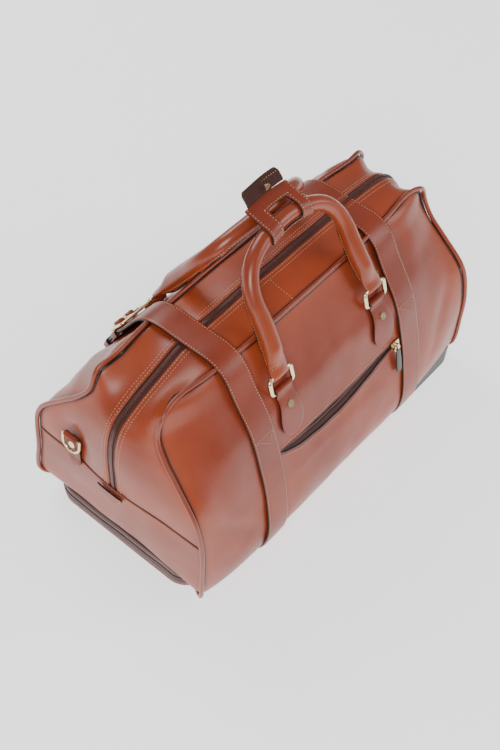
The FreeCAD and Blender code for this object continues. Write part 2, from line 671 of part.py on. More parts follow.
def make_handles():
    radius = size("handle_radius")
    half = size("handle_x")
    wide = size("loop_wide")
    thick = bar_hole() + size("loop_leather")
    profile = Part.Wire([Part.Circle(V(-half, size("roll_start"), 0), V(0, 1, 0), radius).toShape()])
    roll = handle_path().makePipeShell([profile], True, False)
    for side, turn in (("front", 0), ("back", 180)):
        whole = roll
        for x in (-half, half):
            loop = Part.makeCylinder(thick, wide, V(x - wide / 2, 0, 0), ABOUT_X)
            cheek = block(x - wide / 2, x + wide / 2, 0, size("loop_reach"), -thick, thick)
            hole = Part.makeCylinder(bar_hole(), 2 * wide, V(x - wide, 0, 0), ABOUT_X)
            whole = whole.fuse(loop).fuse(cheek).cut(hole)
        soft(f"{side}_handle", placed(whole, handle_place(turn)))


def make_wrap():
    """A leather wrap on the front handle that lies over both; its flap stands up at the back."""
    pivot = handle_place(0)
    top = pivot.multVec(V(0, size("handle_rise"), 0))
    radius = size("handle_radius") + size("wrap_gap")
    leather = size("wrap_leather")
    front_y, z = top.y - size("wrap_spread"), top.z
    back = size("wrap_back")
    sweep = size("handle_rise") + radius + 0.8
    rise = -pivot.Base.y

    def roof(y, extra):
        return pivot.Base.z + math.sqrt((sweep + extra) ** 2 - (rise - y) ** 2)

    def section(extra):
        r = radius + extra
        low = z - size("wrap_low")
        side = math.sqrt(r ** 2 - size("wrap_low") ** 2)
        crest = V(0, front_y, z + r)
        lift = roof(back, extra)
        start = V(0, front_y - side, low)
        return [Part.Arc(start, V(0, front_y - r * math.sin(0.9), z + r * math.cos(0.9)), crest).toShape(),
                Part.Arc(crest, V(0, back * 0.35, max(roof(back * 0.35, extra), z + r + 0.3)),
                         V(0, back, lift)).toShape()]

    inner, outer = section(0), section(leather)
    foot = Part.LineSegment(inner[0].Vertexes[0].Point, outer[0].Vertexes[0].Point).toShape()
    tip = Part.LineSegment(outer[1].Vertexes[-1].Point, inner[1].Vertexes[-1].Point).toShape()
    face = Part.Face(Part.Wire([foot] + outer + [tip] + inner[::-1]))
    arch = size("wrap_arch")
    swing = math.degrees(size("wrap_half") / (arch + radius))
    axis = V(0, 0, z - arch)
    saddle = face.revolve(axis, ABOUT_Y, swing)
    saddle = saddle.fuse(face.revolve(axis, ABOUT_Y, -swing)).removeSplitter()
    slot = size("slot_half")
    saddle = saddle.cut(block(-slot, slot, -LONG, front_y, z + 2, z + 2 + size("slot_high")))
    soft("handle_wrap", saddle)
    foot_z = roof(back, leather) + 0.3
    flap_half = size("flap_half")
    flap = block(-flap_half, flap_half, back - leather, back, foot_z, foot_z + size("flap_high"))
    snap_z = foot_z + size("flap_high") * 0.6
    snap = size("snap_radius")
    hole = Part.makeCylinder(snap * 0.5, 20, V(0, 0, snap_z), ABOUT_Y)
    soft("wrap_flap", flap.cut(hole))
    stud = cylinder("snap_stud", "Sizes.snap_radius * 0.5", "Sizes.wrap_leather",
                    at(0, back, snap_z, ABOUT_X, 90))
    cap = cylinder("snap_cap", "Sizes.snap_radius", "Sizes.snap_high",
                   at(0, back - leather, snap_z, ABOUT_X, 90))
    node(fused("wrap_snap", [stud, cap]), "wrap_snap")


# ---------------------------------------------------------------- D-rings, end patches, sliders

def dee_lift():
    return 2 * size("lie_gap") + size("tab_thick") + size("dee_bar") / 2


def make_dees():
    bar = size("dee_bar")
    fit = bar / 2 + size("dee_fit")
    lie = size("lie_gap")
    rivets = []
    for side, turn in (("left", -90), ("right", 90)):
        place = on_end(turn, -size("dee_y"), size("dee_z"), dee_lift())
        seat = on_end(turn, -size("dee_y"), size("dee_z"))
        wide = size("dee_tab_wide")
        low = size("dee_tab_low") - size("dee_z")
        bend = low + size("dee_tab_round")
        arc = Part.Arc(V(-wide / 2, bend, lie), V(0, low, lie), V(wide / 2, bend, lie)).toShape()
        path = [V(wide / 2, bend, lie), V(wide / 2, 0, lie), V(-wide / 2, 0, lie), V(-wide / 2, bend, lie)]
        lines = [Part.LineSegment(a, b).toShape() for a, b in zip(path, path[1:])]
        plate = Part.Face(Part.Wire([arc] + lines)).extrude(V(0, 0, size("tab_thick")))
        roll = Part.makeCylinder(fit + size("loop_leather"), wide, V(-wide / 2, 0, dee_lift()), ABOUT_X)
        roll = roll.common(block(-wide, wide, -wide, wide, lie, LONG))
        hole = Part.makeCylinder(fit, 2 * wide, V(-wide, 0, dee_lift()), ABOUT_X)
        sunk = seat.multiply(at(0, size("dee_rivet_z") - size("dee_z"), lie))
        room = block(-wide, wide, low - 1, -fit - lie / 2, lie + size("tab_thick"), LONG)
        shank = placed(Part.makeCylinder(size("shank_radius"), 20, V(0, 0, -8)), sunk)
        tab = placed(plate.fuse(roll.cut(room)).cut(hole), seat).cut(shank)
        soft(f"{side}_dee_tab", tab)
        rivets += rivet(f"{side}_dee_rivet", sunk, size("tab_thick"))
        half, leg = size("dee_half"), size("dee_leg")
        parts = [cylinder(f"{side}_dee_rod", "Sizes.dee_bar / 2", "2 * Sizes.dee_half",
                          place.multiply(at(-half, 0, 0, ABOUT_Y, 90)))]
        for mark, x in (("a", -half), ("b", half)):
            parts.append(cylinder(f"{side}_dee_leg_{mark}", "Sizes.dee_bar / 2", "Sizes.dee_leg",
                                  place.multiply(at(x, 0, 0, ABOUT_X, 90))))
            knuckle = doc.addObject("Part::Sphere", f"{side}_dee_corner_{mark}")
            bind(knuckle, Radius="Sizes.dee_bar / 2")
            knuckle.Placement = place.multiply(at(x, 0, 0))
            parts.append(knuckle)
        bow = doc.addObject("Part::Torus", f"{side}_dee_bow")
        bind(bow, Radius1="Sizes.dee_half", Radius2="Sizes.dee_bar / 2")
        bow.Angle3 = 180
        bow.Placement = place.multiply(at(0, -leg, 0, ABOUT_Z, 180))
        parts.append(bow)
        node(fused(f"{side}_dee_ring", parts), f"{side}_dee_ring")
    node(group("dee_rivets", rivets), "dee_rivets")


def make_patches():
    """Half-moon patches that close the lower ends of the main zip."""
    gap = size("under_gap")
    band = side_prism(-gap - size("patch_thick")).cut(side_prism(-gap))
    half, top = size("patch_half"), size("patch_z")
    arc = Part.Arc(V(-LONG, -half, top), V(-LONG, 0, top - half * 0.8), V(-LONG, half, top)).toShape()
    line = Part.LineSegment(V(-LONG, half, top), V(-LONG, -half, top)).toShape()
    moon = Part.Face(Part.Wire([arc, line])).extrude(V(2 * LONG, 0, 0))
    soft("zip_end_patches", band.common(moon))


def make_slider(name, place, along=("Sizes.slider_wide", "Sizes.slider_long")):
    """A slider plate with a bridge, a wire ring through the bridge, and a leather pull on the ring.

    The plate's two sizes are along local X and Y; the pull hangs towards local -Y.
    """
    plate = box(f"{name}_plate", *along, "Sizes.slider_high", place)
    base = size("slider_high")
    bridge = box(f"{name}_bridge", "Sizes.bridge_wide", "Sizes.bridge_long", "Sizes.bridge_high",
                 place.multiply(at(0, 0, base)))
    eye_z = base + size("bridge_high") - size("pull_hole") - 1
    eye = cylinder(f"{name}_eye", "Sizes.pull_hole", "2 * Sizes.bridge_wide",
                   place.multiply(at(-size("bridge_wide"), 0, eye_z, ABOUT_Y, 90)))
    node(cut(f"{name}_slider", fused(f"{name}_slider_metal", [plate, bridge]), eye), f"{name}_slider")
    pivot = place.multiply(at(0, 0, eye_z))
    ring_centre = pivot.multiply(at(0, -size("pull_ring"), 0))
    ring = doc.addObject("Part::Torus", f"{name}_pull_ring")
    bind(ring, Radius1="Sizes.pull_ring", Radius2="Sizes.pull_wire")
    ring.Placement = ring_centre
    node(ring, f"{name}_pull_ring")
    top = -2 * size("pull_ring") + size("pull_grip")
    tab = box(f"{name}_pull_strip", "Sizes.pull_wide", "Sizes.pull_long", "Sizes.pull_thick",
              pivot.multiply(at(0, top - size("pull_long") / 2, -size("pull_thick") / 2)))
    slot = doc.addObject("Part::Torus", f"{name}_pull_slot")
    bind(slot, Radius1="Sizes.pull_ring", Radius2="Sizes.pull_wire + 0.1")
    slot.Placement = ring_centre
    node(cut(f"{name}_pull_tab", tab, slot), f"{name}_pull_tab")


def make_sliders():
    clear = size("slider_fit")
    make_slider("main", on_end(90, 0, size("seam_height") + 22, clear))
    pocket = on_face(0, MOUTH_HALF - size("slider_long") / 2 - 1, MOUTH_Z - size("mouth_open") / 2,
                     size("tape") + size("zip_clear") + clear)
    make_slider("pocket", pocket, ("Sizes.slider_long", "Sizes.slider_wide"))
    wall = TRAY_HALF + size("teeth_height") + clear
    low = (size("zip_low") + FLOOR_Z - size("zip_clear")) / 2
    base_x = -(END_X - size("tray_tuck")) + size("zip_reach") - size("slider_long")
    side_on = facing(180, -base_x, wall, low, 0).multiply(at(0, 0, 0, ABOUT_Z, 90))
    make_slider("base", side_on)


make_shell()
make_piping()
make_zip()
make_lining_and_pocket()
make_base()
make_guard()
make_straps()
make_buckles()
make_tabs()
make_rings()
make_handles()
make_wrap()
make_dees()
make_patches()
make_sliders()

doc.recompute()
problems = [o.Name for o in doc.Objects if {"Invalid", "Error"} & set(o.State)]
for part in NODES:
    shape = part.Shape
    if shape.isNull() or not shape.isValid() or not shape.Solids:
        problems.append(part.Label)
if problems:
    sys.exit(f"these objects failed: {sorted(set(problems))}")
os.makedirs("parts", exist_ok=True)
for part in NODES:
    part.Shape.exportStep(f"parts/{part.Label}.step")
    print(part.Label, len(part.Shape.Solids), round(part.Shape.Volume))
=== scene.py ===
"""Looks of the leather weekender: skins, straps, handles, zips and stitching, built around the fixed frame.

Lengths inside the making functions are millimetres; meshes are stored in metres.
"""

import json
import math

import bmesh
import bpy
from mathutils import Matrix, Vector, noise


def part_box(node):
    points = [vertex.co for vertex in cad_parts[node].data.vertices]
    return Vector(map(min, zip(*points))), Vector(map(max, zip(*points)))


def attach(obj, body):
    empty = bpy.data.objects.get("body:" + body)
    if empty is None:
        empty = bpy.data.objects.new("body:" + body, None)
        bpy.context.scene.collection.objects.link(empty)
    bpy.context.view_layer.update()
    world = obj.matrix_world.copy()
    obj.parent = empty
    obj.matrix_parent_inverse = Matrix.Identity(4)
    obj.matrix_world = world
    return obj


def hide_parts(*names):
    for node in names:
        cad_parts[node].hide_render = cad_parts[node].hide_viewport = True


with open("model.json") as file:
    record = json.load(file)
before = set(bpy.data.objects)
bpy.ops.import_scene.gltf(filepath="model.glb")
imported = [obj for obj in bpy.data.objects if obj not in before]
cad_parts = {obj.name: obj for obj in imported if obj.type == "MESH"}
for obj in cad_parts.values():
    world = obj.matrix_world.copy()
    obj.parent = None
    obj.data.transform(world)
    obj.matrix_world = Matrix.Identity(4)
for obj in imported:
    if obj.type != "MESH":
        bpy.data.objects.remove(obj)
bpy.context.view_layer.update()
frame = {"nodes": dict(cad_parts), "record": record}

MM = 0.001
JOINTS = {j["name"]: j for j in frame["record"]["behaviour"]["joints"]}


def pivot(joint):
    """A joint's pivot in millimetres."""
    return Vector(JOINTS[joint]["pos_m"]) / MM


# ------------------------------------------------------------------ materials

def new_material(name):
    material = bpy.data.materials.new(name)
    material.use_nodes = True
    tree = material.node_tree
    shader = tree.nodes["Principled BSDF"]
    return material, tree, shader


def add(tree, kind, **sockets):
    made = tree.nodes.new(kind)
    for key, value in sockets.items():
        made.inputs[key.replace("_", " ")].default_value = value
    return made


def ramp(tree, source, stops):
    made = tree.nodes.new("ShaderNodeValToRGB")
    elements = made.color_ramp.elements
    elements[0].position, elements[0].color = stops[0][0], (*stops[0][1], 1)
    elements[1].position, elements[1].color = stops[-1][0], (*stops[-1][1], 1)
    for position, colour in stops[1:-1]:
        elements.new(position).color = (*colour, 1)
    tree.links.new(source, made.inputs["Fac"])
    return made.outputs["Color"]


def object_noise(tree, scale, detail=3.0, kind="ShaderNodeTexNoise"):
    coords = tree.nodes.new("ShaderNodeTexCoord")
    made = tree.nodes.new(kind)
    made.inputs["Scale"].default_value = scale
    if kind == "ShaderNodeTexNoise":
        made.inputs["Detail"].default_value = detail
    tree.links.new(coords.outputs["Object"], made.inputs["Vector"])
    return made


def bump(tree, source, strength, distance, after=None):
    made = tree.nodes.new("ShaderNodeBump")
    made.inputs["Strength"].default_value = strength
    made.inputs["Distance"].default_value = distance
    tree.links.new(source, made.inputs["Height"])
    if after:
        tree.links.new(after, made.inputs["Normal"])
    return made.outputs["Normal"]


def mix(tree, kind, fac, a, b):
    made = tree.nodes.new("ShaderNodeMix")
    made.data_type = "RGBA"
    made.blend_type = kind
    for socket, value in ((made.inputs[0], fac), (made.inputs[6], a), (made.inputs[7], b)):
        if isinstance(value, (int, float)):
            socket.default_value = value
        elif isinstance(value, tuple):
            socket.default_value = (*value, 1)
        else:
            tree.links.new(value, socket)
    return made.outputs[2]


def leather(name, deep, middle, bright, grain=0.22, rough=(0.24, 0.42), burnish=False, coat=0.2):
    """Polished hide: cloudy dye, pores, fine wrinkles, a burnished tone where an attribute asks for it, and painted
    shade in the seam grooves where the shadow attribute asks for it.
    """
    material, tree, shader = new_material(name)
    cloud = object_noise(tree, 7.0, 5.0)
    colour = ramp(tree, cloud.outputs["Fac"], [(0.3, deep), (0.52, middle), (0.74, bright)])
    mottle = object_noise(tree, 60.0, 4.0)
    shade = ramp(tree, mottle.outputs["Fac"], [(0.3, (0.86, 0.84, 0.82)), (0.7, (1.0, 1.0, 1.0))])
    colour = mix(tree, "MULTIPLY", 0.7, colour, shade)
    # burnish turns on both the burnished tone and the painted shade in the grooves beside the piping
    if burnish:
        tone = tree.nodes.new("ShaderNodeAttribute")
        tone.attribute_name = "burnish"
        colour = mix(tree, "MIX", tone.outputs["Fac"], colour, (0.40, 0.062, 0.013))
        # painted shade: the shadow attribute darkens the colour to near black in the seam grooves beside the piping
        groove_shade = tree.nodes.new("ShaderNodeAttribute")
        groove_shade.attribute_name = "shadow"
        colour = mix(tree, "MIX", groove_shade.outputs["Fac"], colour, (0.022, 0.004, 0.003))
    tree.links.new(colour, shader.inputs["Base Color"])
    patches = object_noise(tree, 22.0, 4.0)
    span = tree.nodes.new("ShaderNodeMapRange")
    span.inputs["To Min"].default_value = rough[0]
    span.inputs["To Max"].default_value = rough[1]
    tree.links.new(patches.outputs["Fac"], span.inputs["Value"])
    tree.links.new(span.outputs["Result"], shader.inputs["Roughness"])
    shader.inputs["Coat Weight"].default_value = coat
    shader.inputs["Coat Roughness"].default_value = 0.22
    shader.inputs["Specular IOR Level"].default_value = 0.5
    pores = object_noise(tree, 900.0, 2.0, "ShaderNodeTexVoronoi")
    wrinkle = object_noise(tree, 260.0, 6.0)
    soft = object_noise(tree, 26.0, 3.0)
    first = bump(tree, soft.outputs["Fac"], 0.25, 0.0012)
    second = bump(tree, wrinkle.outputs["Fac"], grain, 0.0004, first)
    third = bump(tree, pores.outputs["Distance"], grain, 0.0002, second)
    tree.links.new(third, shader.inputs["Normal"])
    return material


def plain(name, colour, rough, metallic=0.0, speckle=300.0, depth=0.0002, strength=0.2, spread=0.15, coat=0.0):
    """A finish with a little wear: colour and roughness drift, and a fine surface."""
    material, tree, shader = new_material(name)
    drift = object_noise(tree, speckle * 0.3, 4.0)
    low = tuple(c * (1 - spread) for c in colour)
    high = tuple(min(1.0, c * (1 + spread)) for c in colour)
    tree.links.new(ramp(tree, drift.outputs["Fac"], [(0.3, low), (0.7, high)]), shader.inputs["Base Color"])
    span = tree.nodes.new("ShaderNodeMapRange")
    span.inputs["To Min"].default_value = rough * 0.8
    span.inputs["To Max"].default_value = rough * 1.25
    tree.links.new(drift.outputs["Fac"], span.inputs["Value"])
    tree.links.new(span.outputs["Result"], shader.inputs["Roughness"])
    shader.inputs["Metallic"].default_value = metallic
    shader.inputs["Coat Weight"].default_value = coat
    fine = object_noise(tree, speckle, 3.0)
    tree.links.new(bump(tree, fine.outputs["Fac"], strength, depth), shader.inputs["Normal"])
    return material


def woven(name, colour, thread=1500.0, sheen=0.3):
    """A tight weave: two crossed waves of threads."""
    material, tree, shader = new_material(name)
    coords = tree.nodes.new("ShaderNodeTexCoord")
    heights = []
    for direction in ("X", "Z"):
        wave = tree.nodes.new("ShaderNodeTexWave")
        wave.bands_direction = direction
        wave.inputs["Scale"].default_value = thread / 6
        wave.inputs["Distortion"].default_value = 0.6
        tree.links.new(coords.outputs["Object"], wave.inputs["Vector"])
        heights.append(wave.outputs["Fac"])
    both = mix(tree, "MULTIPLY", 1.0, heights[0], heights[1])
    low = tuple(c * 0.6 for c in colour)
    high = tuple(min(1, c * 1.35) for c in colour)
    tree.links.new(ramp(tree, both, [(0.1, low), (0.8, high)]), shader.inputs["Base Color"])
    shader.inputs["Roughness"].default_value = 0.75
    shader.inputs["Sheen Weight"].default_value = sheen
    tree.links.new(bump(tree, both, 0.5, 0.0003), shader.inputs["Normal"])
    return material


HIDE = leather("chestnut_hide", (0.21, 0.027, 0.009), (0.30, 0.044, 0.014), (0.39, 0.066, 0.021),
               rough=(0.3, 0.5), burnish=True, coat=0.1)
STRAP_HIDE = leather("strap_hide", (0.19, 0.024, 0.008), (0.26, 0.036, 0.012), (0.33, 0.051, 0.017), grain=0.5,
                     rough=(0.3, 0.5), coat=0.1)
ROLL_HIDE = leather("handle_hide", (0.22, 0.030, 0.009), (0.30, 0.046, 0.012), (0.38, 0.066, 0.018), grain=0.15,
                    rough=(0.24, 0.38))
PIPE_HIDE = leather("piping_hide", (0.21, 0.030, 0.011), (0.28, 0.043, 0.015), (0.35, 0.060, 0.021), grain=0.2,
                    rough=(0.28, 0.42))
DARK_HIDE = leather("dark_hide", (0.025, 0.010, 0.007), (0.045, 0.017, 0.011), (0.075, 0.03, 0.02), grain=0.4)
# near-black paint of the cut leather edges; also used for painted shade in the seam grooves and inside the strap holes
EDGE_PAINT_AND_SHADE = plain("edge_paint_and_shade", (0.022, 0.010, 0.008), 0.38, speckle=600.0, coat=0.2)
SUEDE = plain("suede", (0.055, 0.016, 0.010), 0.9, speckle=1800.0, depth=0.0006, strength=0.6, spread=0.4)
BRASS = plain("pale_brass", (0.83, 0.70, 0.44), 0.2, metallic=1.0, speckle=900.0, depth=0.00005, spread=0.06)
TEETH = plain("zip_teeth", (0.13, 0.045, 0.034), 0.34, metallic=0.2, speckle=1200.0, depth=0.0001)
THREAD = plain("tan_thread", (0.66, 0.38, 0.22), 0.6, speckle=2500.0, depth=0.0002, strength=0.5)
TAPE = woven("zip_tape_weave", (0.085, 0.022, 0.017))
LINING = woven("lining_cloth", (0.018, 0.008, 0.006), sheen=0.05)
GUARD = plain("moulded_black", (0.012, 0.012, 0.013), 0.42, speckle=1400.0, depth=0.0003, strength=0.45)
BOARD = plain("base_board_grey", (0.05, 0.04, 0.035), 0.8)


# ------------------------------------------------------------------ mesh helpers

def make_object(name, points, faces, materials, slots=None, smooth=True):
    mesh = bpy.data.meshes.new(name)
    mesh.from_pydata([tuple(c * MM for c in p) for p in points], [], faces)
    for material in materials:
        mesh.materials.append(material)
    for i, polygon in enumerate(mesh.polygons):
        polygon.use_smooth = smooth
        if slots:
            polygon.material_index = slots[i]
    made = bpy.data.objects.new(name, mesh)
    bpy.context.scene.collection.objects.link(made)
    return made


def sheet_of(name, rows, materials, closed_across=False, skip=None, values=None):
    """A grid of quads through rows of points; values holds named float attributes, one number per point."""
    wide = len(rows[0])
    points = [p for row in rows for p in row]
    faces = []
    for i in range(len(rows) - 1):
        for j in range(wide if closed_across else wide - 1):
            if skip and skip(i, j):
                continue
            k = (j + 1) % wide
            faces.append((i * wide + j, i * wide + k, (i + 1) * wide + k, (i + 1) * wide + j))
    made = make_object(name, points, faces, materials)
    for key, numbers in (values or {}).items():
        layer = made.data.attributes.new(key, "FLOAT", "POINT")
        layer.data.foreach_set("value", numbers)
    return made


def face_outwards(made, centre):
    """Turns the faces of an open skin away from a point, in millimetres."""
    mesh = made.data
    middle = Vector(centre) * MM
    total = sum(p.area * p.normal.dot(p.center - middle) for p in mesh.polygons)
    if total < 0:
        mesh.flip_normals()
    return made


def weld(made, distance=0.02):
    edit = bmesh.new()
    edit.from_mesh(made.data)
    bmesh.ops.remove_doubles(edit, verts=edit.verts, dist=distance * MM)
    loose = [v for v in edit.verts if not v.link_faces]
    bmesh.ops.delete(edit, geom=loose, context="VERTS")
    edit.to_mesh(made.data)
    edit.free()
    return made


def thicken(made, depth, rim=1, offset=-1.0, soften=0.0):
    """Gives a skin its leather thickness; the cut edge takes the material in slot rim."""
    wall = made.modifiers.new("leather", "SOLIDIFY")
    wall.thickness = depth * MM
    wall.offset = offset
    wall.material_offset_rim = rim
    if soften:
        bevel = made.modifiers.new("rounded", "BEVEL")
        bevel.width = soften * MM
        bevel.segments = 2
        bevel.limit_method = "ANGLE"
        bevel.angle_limit = math.radians(50)
        bevel.material = rim
    return made


def settle(made):
    """Applies the modifiers, so that what is left is a plain mesh."""
    evaluated = made.evaluated_get(bpy.context.evaluated_depsgraph_get())
    mesh = bpy.data.meshes.new_from_object(evaluated)
    made.modifiers.clear()
    made.data = mesh
    return made


def join(name, parts):
    """One object from several that share a body, keeping each face's material."""
    materials, points, faces, slots = [], [], [], []
    for part in parts:
        settle(part)
        base = len(points)
        points += [tuple(c / MM for c in v.co) for v in part.data.vertices]
        index = []
        for material in part.data.materials:
            if material not in materials:
                materials.append(material)
            index.append(materials.index(material))
        for polygon in part.data.polygons:
            faces.append(tuple(base + v for v in polygon.vertices))
            slots.append(index[polygon.material_index])
        bpy.data.objects.remove(part)
    return make_object(name, points, faces, materials, slots)


def finish(made, body, slot, *nodes):
    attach(made, body)
    if nodes:
        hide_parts(*nodes)
    return made


def sweep(name, stations, materials, segments=24, caps=True):
    """A skin through oval sections. A station is centre, side vector, normal vector, half width, half depth
    and an optional function of the angle that adds to the radius."""
    rows = []
    for centre, side, normal, wide, deep, extra in stations:
        row = []
        for k in range(segments):
            angle = 2 * math.pi * k / segments
            grow = extra(angle) if extra else 0.0
            row.append(centre + side * ((wide + grow) * math.cos(angle)) + normal * ((deep + grow) * math.sin(angle)))
        rows.append(row)
    made = sheet_of(name, rows, materials, closed_across=True)
    if caps:
        edit = bmesh.new()
        edit.from_mesh(made.data)
        bmesh.ops.holes_fill(edit, edges=[e for e in edit.edges if e.is_boundary], sides=0)
        bmesh.ops.recalc_face_normals(edit, faces=edit.faces)
        edit.to_mesh(made.data)
        edit.free()
    for polygon in made.data.polygons:
        polygon.use_smooth = True
    return made


def tube(name, points, radius, material, segments=12):
    stations = []
    lift = Vector((0, 0, 1))
    for i, point in enumerate(points):
        ahead = (points[min(i + 1, len(points) - 1)] - points[max(i - 1, 0)]).normalized()
        side = ahead.cross(lift)
        side = side.normalized() if side.length > 0.05 else Vector((0, 1, 0))
        normal = side.cross(ahead).normalized()
        lift = normal
        stations.append((point, side, normal, radius, radius, None))
    return sweep(name, stations, [material], segments)


# ------------------------------------------------------------------ stitches and teeth, by geometry nodes

def repeat_tree():
    """Sets a small closed solid at even steps along every line, turned to the line and to its lift."""
    tree = bpy.data.node_groups.new("along_a_line", "GeometryNodeTree")
    tree.interface.new_socket("Geometry", in_out="INPUT", socket_type="NodeSocketGeometry")
    for key, value in (("Pitch", 0.005), ("Length", 0.003), ("Width", 0.0009), ("Height", 0.0009), ("Sink", 0.0)):
        tree.interface.new_socket(key, in_out="INPUT", socket_type="NodeSocketFloat").default_value = value
    tree.interface.new_socket("Square", in_out="INPUT", socket_type="NodeSocketBool")
    tree.interface.new_socket("Finish", in_out="INPUT", socket_type="NodeSocketMaterial")
    tree.interface.new_socket("Geometry", in_out="OUTPUT", socket_type="NodeSocketGeometry")
    nodes, link = tree.nodes, tree.links.new
    given, result = nodes.new("NodeGroupInput"), nodes.new("NodeGroupOutput")
    line = nodes.new("GeometryNodeMeshToCurve")
    steps = nodes.new("GeometryNodeResampleCurve")
    steps.mode = "LENGTH"
    link(given.outputs["Geometry"], line.inputs[0])
    link(line.outputs[0], steps.inputs["Curve"])
    link(given.outputs["Pitch"], steps.inputs["Length"])
    round_one = nodes.new("GeometryNodeMeshUVSphere")
    round_one.inputs["Segments"].default_value = 6
    round_one.inputs["Rings"].default_value = 4
    round_one.inputs["Radius"].default_value = 0.5
    square_one = nodes.new("GeometryNodeMeshCube")
    square_one.inputs["Size"].default_value = (1, 1, 1)
    pick = nodes.new("GeometryNodeSwitch")
    pick.input_type = "GEOMETRY"
    link(given.outputs["Square"], pick.inputs["Switch"])
    link(round_one.outputs["Mesh"], pick.inputs["False"])
    link(square_one.outputs["Mesh"], pick.inputs["True"])
    extent = nodes.new("ShaderNodeCombineXYZ")
    for key, axis in (("Length", "X"), ("Width", "Y"), ("Height", "Z")):
        link(given.outputs[key], extent.inputs[axis])
    lift = nodes.new("GeometryNodeInputNamedAttribute")
    lift.data_type = "FLOAT_VECTOR"
    lift.inputs["Name"].default_value = "lift"
    lift_out = next(o for o in lift.outputs if o.enabled and o.name == "Attribute")
    up = nodes.new("FunctionNodeAlignRotationToVector")
    up.axis = "Z"
    link(lift_out, up.inputs["Vector"])
    along = nodes.new("FunctionNodeAlignRotationToVector")
    along.axis = "X"
    along.pivot_axis = "Z"
    link(up.outputs["Rotation"], along.inputs["Rotation"])
    link(nodes.new("GeometryNodeInputTangent").outputs[0], along.inputs["Vector"])
    place = nodes.new("GeometryNodeInstanceOnPoints")
    link(steps.outputs["Curve"], place.inputs["Points"])
    link(pick.outputs[0], place.inputs["Instance"])
    link(along.outputs["Rotation"], place.inputs["Rotation"])
    link(extent.outputs[0], place.inputs["Scale"])
    real = nodes.new("GeometryNodeRealizeInstances")
    coat = nodes.new("GeometryNodeSetMaterial")
    link(place.outputs[0], real.inputs[0])
    link(real.outputs[0], coat.inputs["Geometry"])
    link(given.outputs["Finish"], coat.inputs["Material"])
    link(coat.outputs[0], result.inputs[0])
    return tree


ALONG = repeat_tree()


def along_lines(name, lines, material, pitch, length, width, height, square=False):
    """Repeats along lines; a line is a list of point and lift pairs, in millimetres."""
    points, edges, lifts = [], [], []
    for line in lines:
        base = len(points)
        points += [tuple(p) for p, _ in line]
        lifts += [c for _, n in line for c in n]
        edges += [(base + i, base + i + 1) for i in range(len(line) - 1)]
    mesh = bpy.data.meshes.new(name)
    mesh.from_pydata([tuple(c * MM for c in p) for p in points], edges, [])
    mesh.attributes.new("lift", "FLOAT_VECTOR", "POINT").data.foreach_set("vector", lifts)
    made = bpy.data.objects.new(name, mesh)
    bpy.context.scene.collection.objects.link(made)
    run = made.modifiers.new("repeat", "NODES")
    run.node_group = ALONG
    values = {"Pitch": pitch * MM, "Length": length * MM, "Width": width * MM, "Height": height * MM,
              "Square": square, "Finish": material}
    for item in ALONG.interface.items_tree:
        if item.item_type == "SOCKET" and item.in_out == "INPUT" and item.name in values:
            run[item.identifier] = values[item.name]
    made.update_tag()
    bpy.context.view_layer.update()
    settle(made)
    for polygon in made.data.polygons:
        polygon.use_smooth = not square
    return made


STITCHES = {}


def stitch(body, line):
    STITCHES.setdefault(body, []).append(line)


# ------------------------------------------------------------------ shape of the soft bag

# piping line from under the left corner, up and over to the middle of the top: x, distance from centre, z
EDGE = [(-248, 108, 24), (-262, 132, 26), (-263.5, 134, 80), (-262.5, 131.5, 126), (-260.5, 119, 169), (-255, 86, 206),
        (-251, 64.5, 228), (-245.5, 50, 250), (-234, 47.8, 276), (-205, 44.5, 282), (-150, 50, 281.5),
        (-75, 52, 281.5), (0, 52, 281.5)]
# centre line of the gusset, where the zip runs, point for point beside the piping, left end to right end: x, z
RIDGE = [(-252, 27), (-262, 36), (-267, 80), (-269, 126), (-270.5, 170), (-269.5, 203), (-265, 226), (-253, 244),
         (-230, 257), (-200, 268), (-150, 285), (-75, 290.5), (0, 291), (75, 291), (150, 291), (205, 287.5),
         (232, 276), (250, 258), (260, 236), (267, 205), (267.5, 165), (266, 126), (263, 80), (258, 40), (252, 30)]
# the large panels at mid length, point for point beside the piping: distance from centre, z
MIDDLE = [(118, 20), (139, 21), (149, 55), (137.5, 108), (120.5, 160), (107.5, 203), (92.8, 226), (76, 249),
          (61, 270), (52.5, 281)]
# how far the gusset is drawn in between piping and zip, left end to right end
HOLLOW = [0, 0, 1, 2, 2, 3, 4, 4, 4, 3, 2, 2, 2, 2, 3, 5, 8, 9, 7, 5, 2, 2, 1, 0, 0]
SEAM = 3.0
LAST = 2.0 * (len(EDGE) - 1)
TOP_ROW = float(len(MIDDLE) - 1)


def through(keys, t):
    """A smooth line through key points, counted by t."""
    i = min(max(int(math.floor(t)), 0), len(keys) - 2)
    f = t - i
    a, b, c, d = (Vector(keys[min(max(i + k, 0), len(keys) - 1)]) for k in (-1, 0, 1, 2))
    if i == 0:
        a = b + (b - c)
    if i == len(keys) - 2:
        d = c + (c - b)
    return 0.5 * (2 * b + (c - a) * f + (2 * a - 5 * b + 4 * c - d) * f * f + (3 * b - a - 3 * c + d) * f ** 3)


EDGE_LINE = [Vector(k) for k in EDGE + [(-x, y, z) for x, y, z in EDGE[-2::-1]]]
RIDGE_LINE = [Vector((x, 0, z)) for x, z in RIDGE]
MIDDLE_LINE = [Vector((y, z, 0)) for y, z in MIDDLE]
HOLLOW_LINE = [Vector((h, 0, 0)) for h in HOLLOW]


def rim(t, side):
    """The piping line of one side; the left end is a little pressed in behind."""
    edge = through(EDGE_LINE, t)
    if side > 0 and edge.x < 0:
        edge.y -= 6 * math.exp(-((edge.z - 100) / 38) ** 2)
        edge.z += 7 * math.exp(-((edge.z - 24) / 12) ** 2)
    if edge.x > 0:
        corner = math.exp(-((edge.z - 258) / 20) ** 2) * smooth_step(190, 225, edge.x)
        edge += Vector((4, 0, 5)) * corner
    return edge


def wander(x, y, z, size, seed):
    return noise.noise(Vector((x / size + seed, y / size, z / size)))


